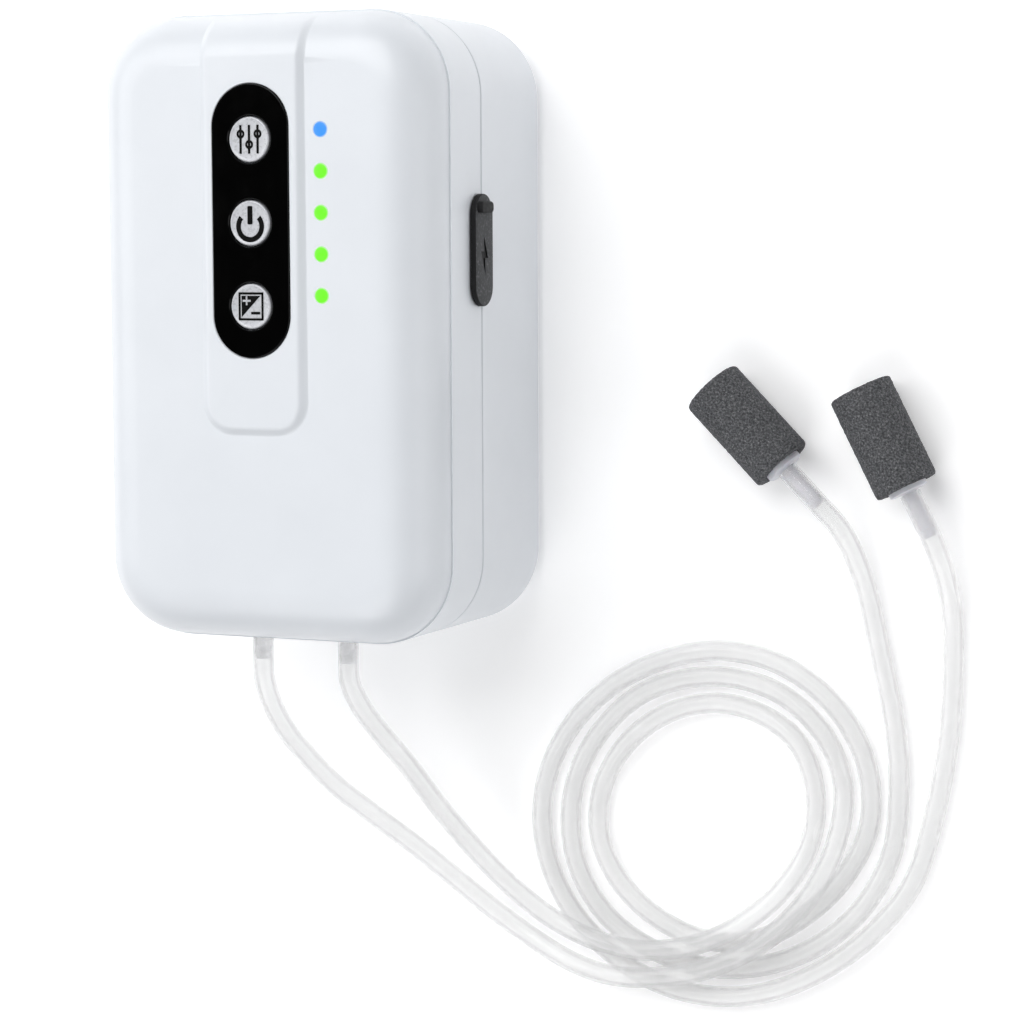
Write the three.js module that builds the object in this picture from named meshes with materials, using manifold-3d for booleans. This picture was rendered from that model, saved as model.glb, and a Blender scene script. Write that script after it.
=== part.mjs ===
// A rechargeable aquarium air pump with two outlets, lying on its back: two air hoses leave
// the bottom end, lie in open loops on the table and end in air stones.
// Millimetres. +X is the pump's width, +Y runs towards its top end, and +Z comes out of the
// front face with the buttons. The table is z = 0.
import * as THREE from "three";
import { mergeVertices } from "three/addons/utils/BufferGeometryUtils.js";
import Module from "manifold-3d";

const wasm = await Module();
wasm.setup();

// Driving dimensions.
const GAP = 0.3; // between touching pieces
const CASE_WIDTH = 86;
const CASE_HEIGHT = 143;
const CORNER_RADIUS = 18.8;
const WALL = 2.4;
const BACK = 1.2; // height of the rear face over the table
const SEAM = 37; // where the two shells meet
const LEDGE = 53.5; // where the side band ends and the rounded front begins
const FACE = 66; // the flat of the front
const LEDGE_STEP = 0.35;
const CAP_INSET = 12;
const BACK_FILLET = 4;
const CORNER_STEPS = 7;
const CAP_STEPS = 6;

const STRIP_WIDTH = 24.8; // raised strip down the middle of the front
const STRIP_RISE = 1.3;
const STRIP_END = -22.4;
const STRIP_CORNER = 5.5;
const STRIP_TOP = FACE + STRIP_RISE;

const PANEL_WIDTH = 19.2;
const PANEL_LENGTH = 61.2;
const PANEL_Y = 24.4;
const PANEL_THICK = 1.2;
const BUTTON_RADIUS = 5.05;
const BUTTON_PITCH = 18.6;
const BUTTON_Y = 24;
const BUTTON_PROUD = 0.5;
const BUTTON_TRAVEL = 0.5;

const LENS_X = 17;
const LENS_RADIUS = 1.8;
const LENS_PITCH = 9.2;
const LENS_TOP_Y = 44.6;

const PORT_Y = 17.7;
const PORT_Z = 38.9;
const COVER_LENGTH = 25.4;
const COVER_WIDTH = 9.6;
const COVER_THICK = 1.3;
const TAB_RISE = 1.3;
const PORT_POCKET = 1.6; // depth of the pocket under the cover

const BOARD_BOTTOM = 52;
const BOARD_THICK = 1.6;
const BOARD_TOP = BOARD_BOTTOM + BOARD_THICK;
const BOARD_LEFT = -20;
const BOARD_RIGHT = 22;
const BOARD_LOW = -15;
const BOARD_HIGH = 60;
const POST_X = [-16, 18];
const POST_Y = [-10, 55];

const CELL_RADIUS = 9.2;
const CELL_LENGTH = 65;
const CELL_X = 9.8;
const CELL_Z = 13.8;
const CELL_LOW = 0.5;

const SCREW_X = 31;
const SCREW_Y = 59.5;
const FOOT_X = 30;
const FOOT_Y = 44;
const FOOT_RADIUS = 5;

const CHASSIS_BOTTOM = 6.5;
const CHASSIS_TOP = 9;
const PIN_X = [-33, 33];
const PIN_Y = [-50, -8];

const ARM_X = 19.2; // middle of a swing arm
const ARM_THICK = 2.4;
const ARM_LOW_Z = 14;
const ARM_HIGH_Z = 26;
const PIVOT_Y = -8;
const CORE_Y = -53;
const CORE_STACK = [13, 27];
const BELLOWS_Y = -30;
const BELLOWS_Z = 20;
const BELLOWS_START = 21.8;
const BELLOWS_END = 30.9;
const VALVE_START = 31.2;
const VALVE_END = 38.4;

const OUTLET_X = 11.2;
const OUTLET_Z = 43;
const OUTLET_REACH = 6.5; // barb beyond the end wall
const HOSE_RADIUS = 2.5;
const INNER_HOSE_RADIUS = 2.3;

const STONE_RADIUS = 7.5;
const STONE_LENGTH = 25;
const STEM_FLANGE = 0.8;
const STEM_FLANGE_RADIUS = 4.6;
const STEM_LENGTH = 11.2;

// The pump stands so that the origin is the middle of its footprint, cover and barbs included.
const COVER_REACH = GAP + COVER_THICK + TAB_RISE;
const PUMP_X = -COVER_REACH / 2;
const PUMP_Y = OUTLET_REACH / 2;

// Colours, roughness and metalness.
const WHITE = { color: 0xe8ebef, roughness: 0.35, metalness: 0 };
const BLACK_GLOSS = { color: 0x060606, roughness: 0.12, metalness: 0 };
const SILVER = { color: 0xd6d7da, roughness: 0.3, metalness: 0.2 };
const BLUE_LENS = { color: 0x3fa0ff, roughness: 0.3, metalness: 0 };
const GREEN_LENS = { color: 0x7fff2e, roughness: 0.3, metalness: 0 };
const RUBBER = { color: 0x55565a, roughness: 0.85, metalness: 0 };
const STEEL = { color: 0xb9bcc0, roughness: 0.35, metalness: 1 };
const IRON = { color: 0x6f7276, roughness: 0.5, metalness: 1 };
const COPPER = { color: 0xb5652e, roughness: 0.35, metalness: 1 };
const BOARD_GREEN = { color: 0x1f6b3a, roughness: 0.5, metalness: 0 };
const CHIP_BLACK = { color: 0x1b1b1d, roughness: 0.6, metalness: 0 };
const CELL_BLUE = { color: 0x2f6fb5, roughness: 0.4, metalness: 0 };
const WIRE_RED = { color: 0xb8231f, roughness: 0.5, metalness: 0 };
const WIRE_BLACK = { color: 0x202022, roughness: 0.5, metalness: 0 };
const CHASSIS_GREY = { color: 0xc9ccd0, roughness: 0.5, metalness: 0 };
const FELT = { color: 0xf1efe8, roughness: 0.95, metalness: 0 };
const SILICONE = { color: 0xe6e9ea, roughness: 0.25, metalness: 0 };
const STONE_GREY = { color: 0x5a5b5f, roughness: 0.95, metalness: 0 };
const PALE_PLASTIC = { color: 0xdedee4, roughness: 0.3, metalness: 0 };

const pump = new THREE.Group();
pump.position.set(PUMP_X, PUMP_Y, 0);
const part = new THREE.Group();
part.add(pump);

// ---- Geometry helpers ----

function addMesh(group, name, geometry, look) {
  const mesh = new THREE.Mesh(geometry, new THREE.MeshStandardMaterial(look));
  mesh.name = name;
  group.add(mesh);
  return mesh;
}

function toSolid(geometry) {
  const bare = new THREE.BufferGeometry();
  bare.setAttribute("position", geometry.getAttribute("position"));
  if (geometry.index) bare.setIndex(geometry.index);
  const merged = mergeVertices(bare, 1e-4);
  return new wasm.Manifold(
    new wasm.Mesh({
      numProp: 3,
      vertProperties: new Float32Array(merged.attributes.position.array),
      triVerts: new Uint32Array(merged.index.array),
    }),
  );
}

function toGeometry(solid) {
  const mesh = solid.getMesh();
  const geometry = new THREE.BufferGeometry();
  geometry.setAttribute("position", new THREE.BufferAttribute(mesh.vertProperties, 3));
  geometry.setIndex(new THREE.BufferAttribute(mesh.triVerts, 1));
  geometry.computeVertexNormals();
  return geometry;
}

function join(...geometries) {
  return toGeometry(geometries.map(toSolid).reduce((sum, solid) => sum.add(solid)));
}

function cut(body, ...tools) {
  return toGeometry(tools.map(toSolid).reduce((left, solid) => left.subtract(solid), toSolid(body)));
}

function common(body, tool) {
  return toGeometry(toSolid(body).intersect(toSolid(tool)));
}

function box(x, y, z) {
  const geometry = new THREE.BoxGeometry(x[1] - x[0], y[1] - y[0], z[1] - z[0]);
  return geometry.translate((x[0] + x[1]) / 2, (y[0] + y[1]) / 2, (z[0] + z[1]) / 2);
}

// A cylinder from low to high along one axis, through a point given by its other two values.
function rod(axis, at, radius, low, high, sides = 14) {
  const geometry = new THREE.CylinderGeometry(radius, radius, high - low, sides);
  const middle = (low + high) / 2;
  if (axis === "z") return geometry.rotateX(Math.PI / 2).translate(at[0], at[1], middle);
  if (axis === "y") return geometry.translate(at[0], middle, at[1]);
  return geometry.rotateZ(Math.PI / 2).translate(middle, at[0], at[1]);
}

// A turned piece: profile is a list of [radius, height] up the axis.
function turned(profile, sides = 16) {
  return new THREE.LatheGeometry(profile.map(([r, h]) => new THREE.Vector2(r, h)), sides);
}

// A convex outline with four round corners, as [x, y] pairs, anticlockwise.
function roundedOutline(width, height, radius, steps = CORNER_STEPS) {
  const outline = [];
  for (let corner = 0; corner < 4; corner++) {
    const signX = corner === 0 || corner === 3 ? 1 : -1;
    const signY = corner < 2 ? 1 : -1;
    for (let step = 0; step <= steps; step++) {
      const angle = (Math.PI / 2) * (corner + step / steps);
      outline.push([
        signX * (width / 2 - radius) + radius * Math.cos(angle),
        signY * (height / 2 - radius) + radius * Math.sin(angle),
      ]);
    }
  }
  return outline;
}

// A closed skin over rings of equal length, lowest first, with flat ends.
function loft(rings) {
  const count = rings[0].length;
  const positions = rings.flat(2);
  const faces = [];
  for (let ring = 0; ring < rings.length - 1; ring++) {
    for (let i = 0; i < count; i++) {
      const a = ring * count + i;
      const b = ring * count + ((i + 1) % count);
      faces.push(a, b, b + count, a, b + count, a + count);
    }
  }
  const last = (rings.length - 1) * count;
  for (let i = 1; i < count - 1; i++) {
    faces.push(0, i + 1, i);
    faces.push(last, last + i, last + i + 1);
  }
  const geometry = new THREE.BufferGeometry();
  geometry.setAttribute("position", new THREE.Float32BufferAttribute(positions, 3));
  geometry.setIndex(faces);
  return geometry;
}

// The case outline, drawn in by an inset, at a height.
function caseRing(inset, height) {
  return roundedOutline(
    CASE_WIDTH - 2 * inset,
    CASE_HEIGHT - 2 * inset,
    CORNER_RADIUS - inset,
  ).map(([x, y]) => [x, y, height]);
}

// A plate with rounded corners between two heights.
function plate(width, height, radius, low, high, steps = 6) {
  const outline = roundedOutline(width, height, radius, steps);
  return loft([low, high].map((z) => outline.map(([x, y]) => [x, y, z])));
}

// A solid tube of round section through a list of points.
function tube(points, radius, steps, sides = 10) {
  const curve = new THREE.CatmullRomCurve3(points.map((p) => new THREE.Vector3(...p)), false, "centripetal");
  const section = new THREE.Shape();
  section.absarc(0, 0, radius, 0, 2 * Math.PI, false);
  return new THREE.ExtrudeGeometry(section, {
    steps,
    extrudePath: curve,
    curveSegments: sides / 2,
    bevelEnabled: false,
  });
}

const mirrored = (list) => list.map(([x, y, z]) => [-x, y, z]);
const sides = [
  ["left", -1],
  ["right", 1],
];
const pairs = (xs, ys) => xs.flatMap((x) => ys.map((y) => [x, y]));
const buttonPlaces = [
  ["mode", BUTTON_Y + BUTTON_PITCH],
  ["power", BUTTON_Y],
  ["level", BUTTON_Y - BUTTON_PITCH],
];

// ---- Front shell ----

// The outside of the front shell: straight side band, ledge, then a quarter-round to the face.
function frontOuter(rise) {
  const rings = [caseRing(0, SEAM + GAP / 2), caseRing(0, LEDGE)];
  for (let step = 0; step <= CAP_STEPS; step++) {
    const angle = ((Math.PI / 2) * step) / CAP_STEPS;
    const inset = LEDGE_STEP + (CAP_INSET - LEDGE_STEP) * (1 - Math.cos(angle));
    rings.push(caseRing(inset, LEDGE + (FACE + rise - LEDGE) * Math.sin(angle)));
  }
  return loft(rings);
}

function frontInner() {
  const rings = [caseRing(WALL, SEAM - 1)];
  for (let step = 0; step <= CAP_STEPS; step++) {
    const angle = ((Math.PI / 2) * step) / CAP_STEPS;
    const inset = WALL + (CAP_INSET - WALL) * (1 - Math.cos(angle));
    rings.push(caseRing(inset, LEDGE - WALL / 2 + (FACE - LEDGE - WALL / 2) * Math.sin(angle)));
  }
  return loft(rings);
}

// The raised strip runs from above the middle of the face over the rounded top end.
function strip() {
  const length = CASE_HEIGHT;
  const outline = plate(STRIP_WIDTH, length, STRIP_CORNER, LEDGE, STRIP_TOP + 1);
  outline.translate(0, STRIP_END + length / 2, 0);
  return common(frontOuter(STRIP_RISE), outline);
}

// The pocket that the charging port's cover plugs, and the slot that the port looks through.
function portPocket() {
  const pocket = plate(COVER_WIDTH - 2.6, COVER_LENGTH - 3.4, 3.4, 0, PORT_POCKET + 2);
  pocket.rotateY(Math.PI / 2);
  pocket.translate(CASE_WIDTH / 2 - PORT_POCKET, PORT_Y, PORT_Z);
  const slot = box([CASE_WIDTH / 2 - 5, CASE_WIDTH / 2], [PORT_Y - 4.9, PORT_Y + 4.9], [PORT_Z - 2, PORT_Z + 2]);
  return join(pocket, slot);
}

function frontShell() {
  const inside = [];
  for (const [x, y] of pairs([-SCREW_X, SCREW_X], [-SCREW_Y, SCREW_Y]))
    inside.push(rod("z", [x, y], 4, SEAM + GAP / 2, FACE));
  for (const [x, y] of pairs(POST_X, POST_Y)) {
    inside.push(rod("z", [x, y], 2.6, BOARD_TOP + GAP, FACE - 1));
    inside.push(rod("z", [x, y], 1.2, BOARD_BOTTOM - 1.2, FACE - 1, 8));
  }
  const walls = cut(join(frontOuter(0), strip()), frontInner());
  const body = join(walls, common(join(...inside), frontOuter(0)));

  const panelBed = plate(PANEL_WIDTH + 0.6, PANEL_LENGTH + 0.6, PANEL_WIDTH / 2 + 0.3, 0, 5);
  panelBed.translate(0, PANEL_Y, STRIP_TOP - PANEL_THICK);
  const holes = [panelBed, portPocket()];
  for (const [, y] of buttonPlaces)
    holes.push(rod("z", [0, y], BUTTON_RADIUS + 0.5, FACE - 6, FACE + 4, 20));
  for (let i = 0; i < 5; i++)
    holes.push(rod("z", [LENS_X, LENS_TOP_Y - i * LENS_PITCH], LENS_RADIUS + GAP, FACE - 6, FACE + 2, 12));
  for (const [x, y] of pairs([-SCREW_X, SCREW_X], [-SCREW_Y, SCREW_Y]))
    holes.push(rod("z", [x, y], 1.8, SEAM - 1, SEAM + 11, 8));
  for (const [, sign] of sides)
    holes.push(rod("y", [sign * OUTLET_X, OUTLET_Z], 2.7, -CASE_HEIGHT / 2 - 2, -CASE_HEIGHT / 2 + 4));
  return cut(body, ...holes);
}

// ---- Rear shell ----

function rearShell() {
  const rings = [];
  for (let step = 0; step <= 5; step++) {
    const angle = ((Math.PI / 2) * step) / 5;
    rings.push(caseRing(BACK_FILLET * (1 - Math.sin(angle)), BACK + BACK_FILLET * (1 - Math.cos(angle))));
  }
  rings.push(caseRing(0, SEAM - GAP / 2));
  const inner = loft([
    caseRing(WALL + 2.2, BACK + WALL),
    caseRing(WALL + 0.6, BACK + WALL + 1.2),
    caseRing(WALL, BACK + WALL + 3),
    caseRing(WALL, SEAM + 1),
  ]);
  const floor = BACK + WALL - 0.5;
  const additions = [];
  for (const [x, y] of pairs([-SCREW_X, SCREW_X], [-SCREW_Y, SCREW_Y]))
    additions.push(rod("z", [x, y], 4.6, floor, SEAM - GAP / 2));
  for (const [x, y] of pairs(PIN_X, PIN_Y)) {
    additions.push(rod("z", [x, y], 3, floor, CHASSIS_BOTTOM - GAP, 10));
    additions.push(rod("z", [x, y], 1.4, floor, CHASSIS_TOP + 1.2, 8));
  }
  for (const y of [CELL_LOW + 11, CELL_LOW + CELL_LENGTH - 11])
    additions.push(box([-21, 21], [y - 1.5, y + 1.5], [floor, CELL_Z - 3]));
  const body = join(cut(loft(rings), inner), ...additions);

  const holes = [portPocket()];
  for (const sign of [-1, 1])
    holes.push(rod("y", [sign * CELL_X, CELL_Z], CELL_RADIUS + GAP, CELL_LOW - 1, CELL_LOW + CELL_LENGTH + 1, 20));
  for (const [x, y] of pairs([-SCREW_X, SCREW_X], [-SCREW_Y, SCREW_Y])) {
    holes.push(rod("z", [x, y], 3.3, BACK - 1, BACK + 7));
    holes.push(rod("z", [x, y], 1.8, BACK, SEAM + 1, 8));
  }
  for (const [x, y] of pairs([-FOOT_X, FOOT_X], [-FOOT_Y, FOOT_Y]))
    holes.push(rod("z", [x, y], FOOT_RADIUS + GAP, BACK - 1, BACK + 0.8));
  for (let i = -2; i <= 2; i++)
    holes.push(box([-10, 10], [BELLOWS_Y + i * 4 - 0.8, BELLOWS_Y + i * 4 + 0.8], [0, BACK + WALL + 1]));
  return cut(body, ...holes);
}

addMesh(pump, "front_shell", frontShell(), WHITE);
addMesh(pump, "rear_shell", rearShell(), WHITE);

// ---- Button panel, buttons and indicator lenses ----

function buttonPanel() {
  const plateBody = plate(PANEL_WIDTH, PANEL_LENGTH, PANEL_WIDTH / 2, 0, PANEL_THICK, 10);
  plateBody.translate(0, PANEL_Y, STRIP_TOP - PANEL_THICK + GAP);
  const holes = buttonPlaces.map(([, y]) => rod("z", [0, y], BUTTON_RADIUS + 0.35, FACE - 2, FACE + 4, 24));
  return cut(plateBody, ...holes);
}

// A button's cap stands through the panel; its flange under the shell keeps it in, and its
// stem reaches down to the switch.
const PLUNGER_TOP = BOARD_TOP + 6;

function button(y) {
  const top = STRIP_TOP + GAP + BUTTON_PROUD;
  const flangeTop = FACE - WALL - 0.5;
  const profile = [
    [0, PLUNGER_TOP + GAP],
    [1.6, PLUNGER_TOP + GAP],
    [1.6, flangeTop - 1.2],
    [6.6, flangeTop - 1.2],
    [6.6, flangeTop],
    [BUTTON_RADIUS, flangeTop],
    [BUTTON_RADIUS, top - 0.3],
    [BUTTON_RADIUS - 0.3, top],
    [0, top],
  ];
  return turned(profile, 24).rotateX(Math.PI / 2).translate(0, y, 0);
}

function lens(index) {
  const y = LENS_TOP_Y - index * LENS_PITCH;
  return rod("z", [LENS_X, y], LENS_RADIUS, BOARD_TOP + 1.6, FACE + 0.15, 12);
}

addMesh(pump, "button_panel", buttonPanel(), BLACK_GLOSS);
for (const [name, y] of buttonPlaces) addMesh(pump, name + "_button", button(y), SILVER);
addMesh(pump, "charge_lens", lens(0), BLUE_LENS);
for (let i = 1; i <= 4; i++) addMesh(pump, "level_lens_" + i, lens(i), GREEN_LENS);

// ---- Control board, switches and chip ----

function controlBoard() {
  const board = box([BOARD_LEFT, BOARD_RIGHT], [BOARD_LOW, BOARD_HIGH], [BOARD_BOTTOM, BOARD_TOP]);
  const lamps = [];
  for (let i = 0; i < 5; i++) {
    const y = LENS_TOP_Y - i * LENS_PITCH;
    lamps.push(box([LENS_X - 1, LENS_X + 1], [y - 0.7, y + 0.7], [BOARD_TOP - 0.5, BOARD_TOP + 0.9]));
  }
  const choke = rod("z", [-12, 40], 4, BOARD_BOTTOM - 4.5, BOARD_BOTTOM + 0.5, 12);
  const holes = pairs(POST_X, POST_Y).map((at) => rod("z", at, 1.6, BOARD_BOTTOM - 1, BOARD_TOP + 1, 8));
  return cut(join(board, choke, ...lamps), ...holes);
}

function switchBase(y) {
  const body = box([-3, 3], [y - 3, y + 3], [BOARD_TOP + GAP, BOARD_TOP + 3.8]);
  return cut(body, rod("z", [0, y], 2, BOARD_TOP + 1.2, BOARD_TOP + 5, 12));
}

function switchPlunger(y) {
  return rod("z", [0, y], 1.6, BOARD_TOP + 1.2 + BUTTON_TRAVEL + GAP, PLUNGER_TOP, 12);
}

addMesh(pump, "control_board", controlBoard(), BOARD_GREEN);
for (const [name, y] of buttonPlaces) {
  addMesh(pump, name + "_switch", switchBase(y), CHIP_BLACK);
  addMesh(pump, name + "_plunger", switchPlunger(y), PALE_PLASTIC);
}
const chipHeights = [BOARD_BOTTOM - GAP - 1.6, BOARD_BOTTOM - GAP];
addMesh(pump, "controller_chip", box([-4, 6], [10, 20], chipHeights), CHIP_BLACK);

// ---- Charging port and its cover ----

// Rubber: a round-ended plate over the pocket, a plug inside it and a finger tab at the top.
function portCover() {
  const outer = plate(COVER_WIDTH, COVER_LENGTH, COVER_WIDTH / 2, 0, COVER_THICK, 8);
  const plug = plate(COVER_WIDTH - 4.2, COVER_LENGTH - 5.4, 2.6, -PORT_POCKET + 0.2, 0.5);
  const tab = box([-COVER_WIDTH / 2 + 0.5, COVER_WIDTH / 2 - 0.5], [8.4, 11], [0.3, COVER_THICK + TAB_RISE]);
  const cover = join(outer, plug, tab);
  cover.rotateY(Math.PI / 2);
  return cover.translate(CASE_WIDTH / 2 + GAP, PORT_Y, PORT_Z);
}

const MOUTH = CASE_WIDTH / 2 - PORT_POCKET - 0.4;

function chargePort() {
  const shell = plate(3.2, 9, 1.5, 0, 7.4, 5);
  const hollow = plate(2.4, 8.2, 1.15, 1.2, 8, 5);
  const tongue = box([-0.35, 0.35], [-3.3, 3.3], [1, 6.4]);
  const port = join(cut(shell, hollow), tongue);
  port.rotateY(Math.PI / 2);
  return port.translate(MOUTH - 7.4, PORT_Y, PORT_Z);
}

const CHARGE_BOARD_TOP = PORT_Z - 1.6 - GAP;
const CHARGE_BOARD_Y = [PORT_Y - 9, PORT_Y + 9];
const chargeBoard = box([22, MOUTH - 1.5], CHARGE_BOARD_Y, [CHARGE_BOARD_TOP - 1.2, CHARGE_BOARD_TOP]);

addMesh(pump, "port_cover", portCover(), RUBBER);
addMesh(pump, "charge_port", chargePort(), STEEL);
addMesh(pump, "charge_board", chargeBoard, BOARD_GREEN);

// ---- Battery cells and leads ----

function cell(x) {
  const profile = [
    [0, 0],
    [CELL_RADIUS - 0.6, 0],
    [CELL_RADIUS, 0.6],
    [CELL_RADIUS, CELL_LENGTH - 2],
    [CELL_RADIUS - 0.8, CELL_LENGTH - 1.2],
    [3, CELL_LENGTH - 1.2],
    [3, CELL_LENGTH],
    [0, CELL_LENGTH],
  ];
  return turned(profile, 20).translate(x, CELL_LOW, CELL_Z);
}

const redLeadPath = [
  [-13, 66.7, 14],
  [-19, 66.9, 20],
  [-24, 64, 30],
  [-24, 58, 42],
  [-19, 52, 49],
  [-16.5, 48, 50.9],
];
const blackLeadPath = [
  [13, 66.7, 14],
  [19, 66.9, 20],
  [23, 63, 30],
  [22, 56, 42],
  [13, 50, 49],
  [10, 47, 50.9],
];
const chargeLeadPath = [
  [22.5, 14, 38.1],
  [17, 14, 39.2],
  [12, 10, 43],
  [10, 4, 48],
  [10, 0, 50.9],
];
const coilLeadPath = [
  [0, -42, 32],
  [0, -36, 40],
  [-2, -26, 46],
  [-4, -14, 49],
  [-5, -9, 50.9],
];

addMesh(pump, "battery_cell_1", cell(-CELL_X), CELL_BLUE);
addMesh(pump, "battery_cell_2", cell(CELL_X), CELL_BLUE);
addMesh(pump, "battery_lead_red", tube(redLeadPath, 0.8, 12, 6), WIRE_RED);
addMesh(pump, "battery_lead_black", tube(blackLeadPath, 0.8, 12, 6), WIRE_BLACK);
addMesh(pump, "charge_lead", tube(chargeLeadPath, 0.8, 9, 6), WIRE_RED);
addMesh(pump, "coil_lead", tube(coilLeadPath, 0.8, 9, 6), WIRE_BLACK);

// ---- Air engine: chassis, core, coil, swing arms, bellows and valve blocks ----

function chassis() {
  const broad = box([-38, 38], [-54, -3], [CHASSIS_BOTTOM, CHASSIS_TOP]);
  const tail = box([-24, 24], [-67, -50], [CHASSIS_BOTTOM, CHASSIS_TOP]);
  const posts = sides.map(([, sign]) => rod("z", [sign * ARM_X, PIVOT_Y], 3, CHASSIS_TOP - 1, 29));
  const rests = [-8.5, 8.5].map((offset) =>
    box([-8, 8], [CORE_Y + offset - 2, CORE_Y + offset + 2], [CHASSIS_TOP - 1, CORE_STACK[0] - GAP]),
  );
  const holes = pairs(PIN_X, PIN_Y).map((at) => rod("z", at, 1.8, 0, CHASSIS_TOP + 1, 8));
  return cut(join(broad, tail, ...rests, ...posts), ...holes);
}

// The core is an upright I on its side: two pole bars joined by the web that carries the coil.
function core() {
  const lower = box([-10, 10], [CORE_Y - 11, CORE_Y - 6], CORE_STACK);
  const upper = box([-10, 10], [CORE_Y + 6, CORE_Y + 11], CORE_STACK);
  const web = box([-4, 4], [CORE_Y - 7, CORE_Y + 7], CORE_STACK);
  return join(lower, upper, web);
}

function coil() {
  const winding = plate(18, 21, 3.5, -5.6, 5.6, 5);
  winding.rotateX(-Math.PI / 2);
  winding.translate(0, CORE_Y, BELLOWS_Z);
  const heights = [CORE_STACK[0] - GAP, CORE_STACK[1] + GAP];
  return cut(winding, box([-4 - GAP, 4 + GAP], [CORE_Y - 8, CORE_Y + 8], heights));
}

// An arm turns on its rubber bush at the upper end and carries a magnet at the lower end.
function swingArm(sign) {
  const heights = [ARM_LOW_Z, ARM_HIGH_Z];
  const half = ARM_THICK / 2;
  const x = sign * ARM_X;
  const blade = box([x - half, x + half], [CORE_Y - 11, PIVOT_Y - 5], heights);
  const eye = rod("z", [x, PIVOT_Y], 8, ARM_LOW_Z, ARM_HIGH_Z, 20);
  const bore = rod("z", [x, PIVOT_Y], 5.8, 0, 40, 20);
  return cut(join(blade, eye), bore);
}

function armMagnet(sign) {
  const outer = ARM_X - ARM_THICK / 2 - GAP;
  const reach = [sign * (outer - 4), sign * outer].sort((a, b) => a - b);
  return box(reach, [CORE_Y - 10, CORE_Y + 10], [ARM_LOW_Z, ARM_HIGH_Z]);
}

function pivotBush(sign) {
  const ring = [
    [3.3, ARM_LOW_Z],
    [5.5, ARM_LOW_Z],
    [5.5, ARM_HIGH_Z],
    [3.3, ARM_HIGH_Z],
    [3.3, ARM_LOW_Z],
  ];
  return turned(ring).rotateX(Math.PI / 2).translate(sign * ARM_X, PIVOT_Y, 0);
}

// Rubber bellows, open towards the valve block.
function bellows(sign) {
  const folds = 3;
  const step = (BELLOWS_END - BELLOWS_START) / folds;
  const outside = [[0, BELLOWS_START]];
  const inside = [];
  for (let i = 0; i < folds; i++) {
    outside.push([8.5, BELLOWS_START + i * step], [11, BELLOWS_START + (i + 0.5) * step]);
    inside.push([7.5, BELLOWS_START + i * step], [10, BELLOWS_START + (i + 0.5) * step]);
  }
  inside[0][1] += 1;
  outside.push([8.5, BELLOWS_END]);
  inside.push([7.5, BELLOWS_END]);
  const profile = [...outside, ...inside.reverse(), [0, BELLOWS_START + 1]];
  const body = turned(profile).rotateZ(-Math.PI / 2);
  if (sign < 0) body.rotateZ(Math.PI);
  return body.translate(0, BELLOWS_Y, BELLOWS_Z);
}

// The block holds the flap valves: a chamber behind the bellows and a spigot on top.
function valveBlock(sign) {
  const reach = [sign * VALVE_START, sign * VALVE_END].sort((a, b) => a - b);
  const x = (sign * (VALVE_START + VALVE_END)) / 2;
  const body = box(reach, [BELLOWS_Y - 13, BELLOWS_Y + 13], [CHASSIS_TOP + GAP, 33]);
  const spigot = rod("z", [x, BELLOWS_Y - 8], 1.8, 32, 37, 10);
  const chamber = rod("x", [BELLOWS_Y, BELLOWS_Z], 7, Math.min(...reach) - 1, Math.max(...reach) - 2);
  if (sign < 0) chamber.translate(3, 0, 0);
  const way = rod("z", [x, BELLOWS_Y - 8], 0.9, BELLOWS_Z, 40, 8);
  return cut(join(body, spigot), chamber, way);
}

// From the spigot on a valve block, over the arms, to the back of the outlet nozzle.
const innerHosePath = [
  [(VALVE_START + VALVE_END) / 2, BELLOWS_Y - 8, 37.4],
  [34.7, -38.1, 39.6],
  [32, -40.5, 43],
  [25, -46, 44],
  [17.5, -51, 43.6],
  [12, -55.5, 43],
  [OUTLET_X, -60.1, OUTLET_Z],
];

// Snapped into the end wall: inner spigot, stop collar and the barb that a hose pushes over.
function outletNozzle(sign) {
  const wallInside = -CASE_HEIGHT / 2 + WALL + GAP;
  const tip = -CASE_HEIGHT / 2 - OUTLET_REACH;
  const profile = [
    [0, tip],
    [1.5, tip],
    [2.05, tip + 1.8],
    [1.7, tip + 1.9],
    [1.7, tip + OUTLET_REACH - 1],
    [2.4, tip + OUTLET_REACH - 0.9],
    [2.4, wallInside],
    [3.8, wallInside],
    [3.8, wallInside + 1.6],
    [1.8, wallInside + 1.6],
    [1.8, -60.5],
    [0, -60.5],
  ];
  const body = turned(profile, 12).translate(sign * OUTLET_X, 0, OUTLET_Z);
  return cut(body, rod("y", [sign * OUTLET_X, OUTLET_Z], 0.9, -90, -50, 8));
}

addMesh(pump, "pump_chassis", chassis(), CHASSIS_GREY);
addMesh(pump, "magnet_core", core(), IRON);
addMesh(pump, "coil_winding", coil(), COPPER);
for (const [name, sign] of sides) {
  const path = sign > 0 ? innerHosePath : mirrored(innerHosePath);
  addMesh(pump, name + "_swing_arm", swingArm(sign), STEEL);
  addMesh(pump, name + "_arm_magnet", armMagnet(sign), IRON);
  addMesh(pump, name + "_pivot_bush", pivotBush(sign), RUBBER);
  addMesh(pump, name + "_bellows", bellows(sign), RUBBER);
  addMesh(pump, name + "_valve_block", valveBlock(sign), CHASSIS_GREY);
  addMesh(pump, name + "_inner_hose", tube(path, INNER_HOSE_RADIUS, 11, 8), SILICONE);
  addMesh(pump, name + "_outlet_nozzle", outletNozzle(sign), PALE_PLASTIC);
}

// ---- Screws, feet and intake filter ----

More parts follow.
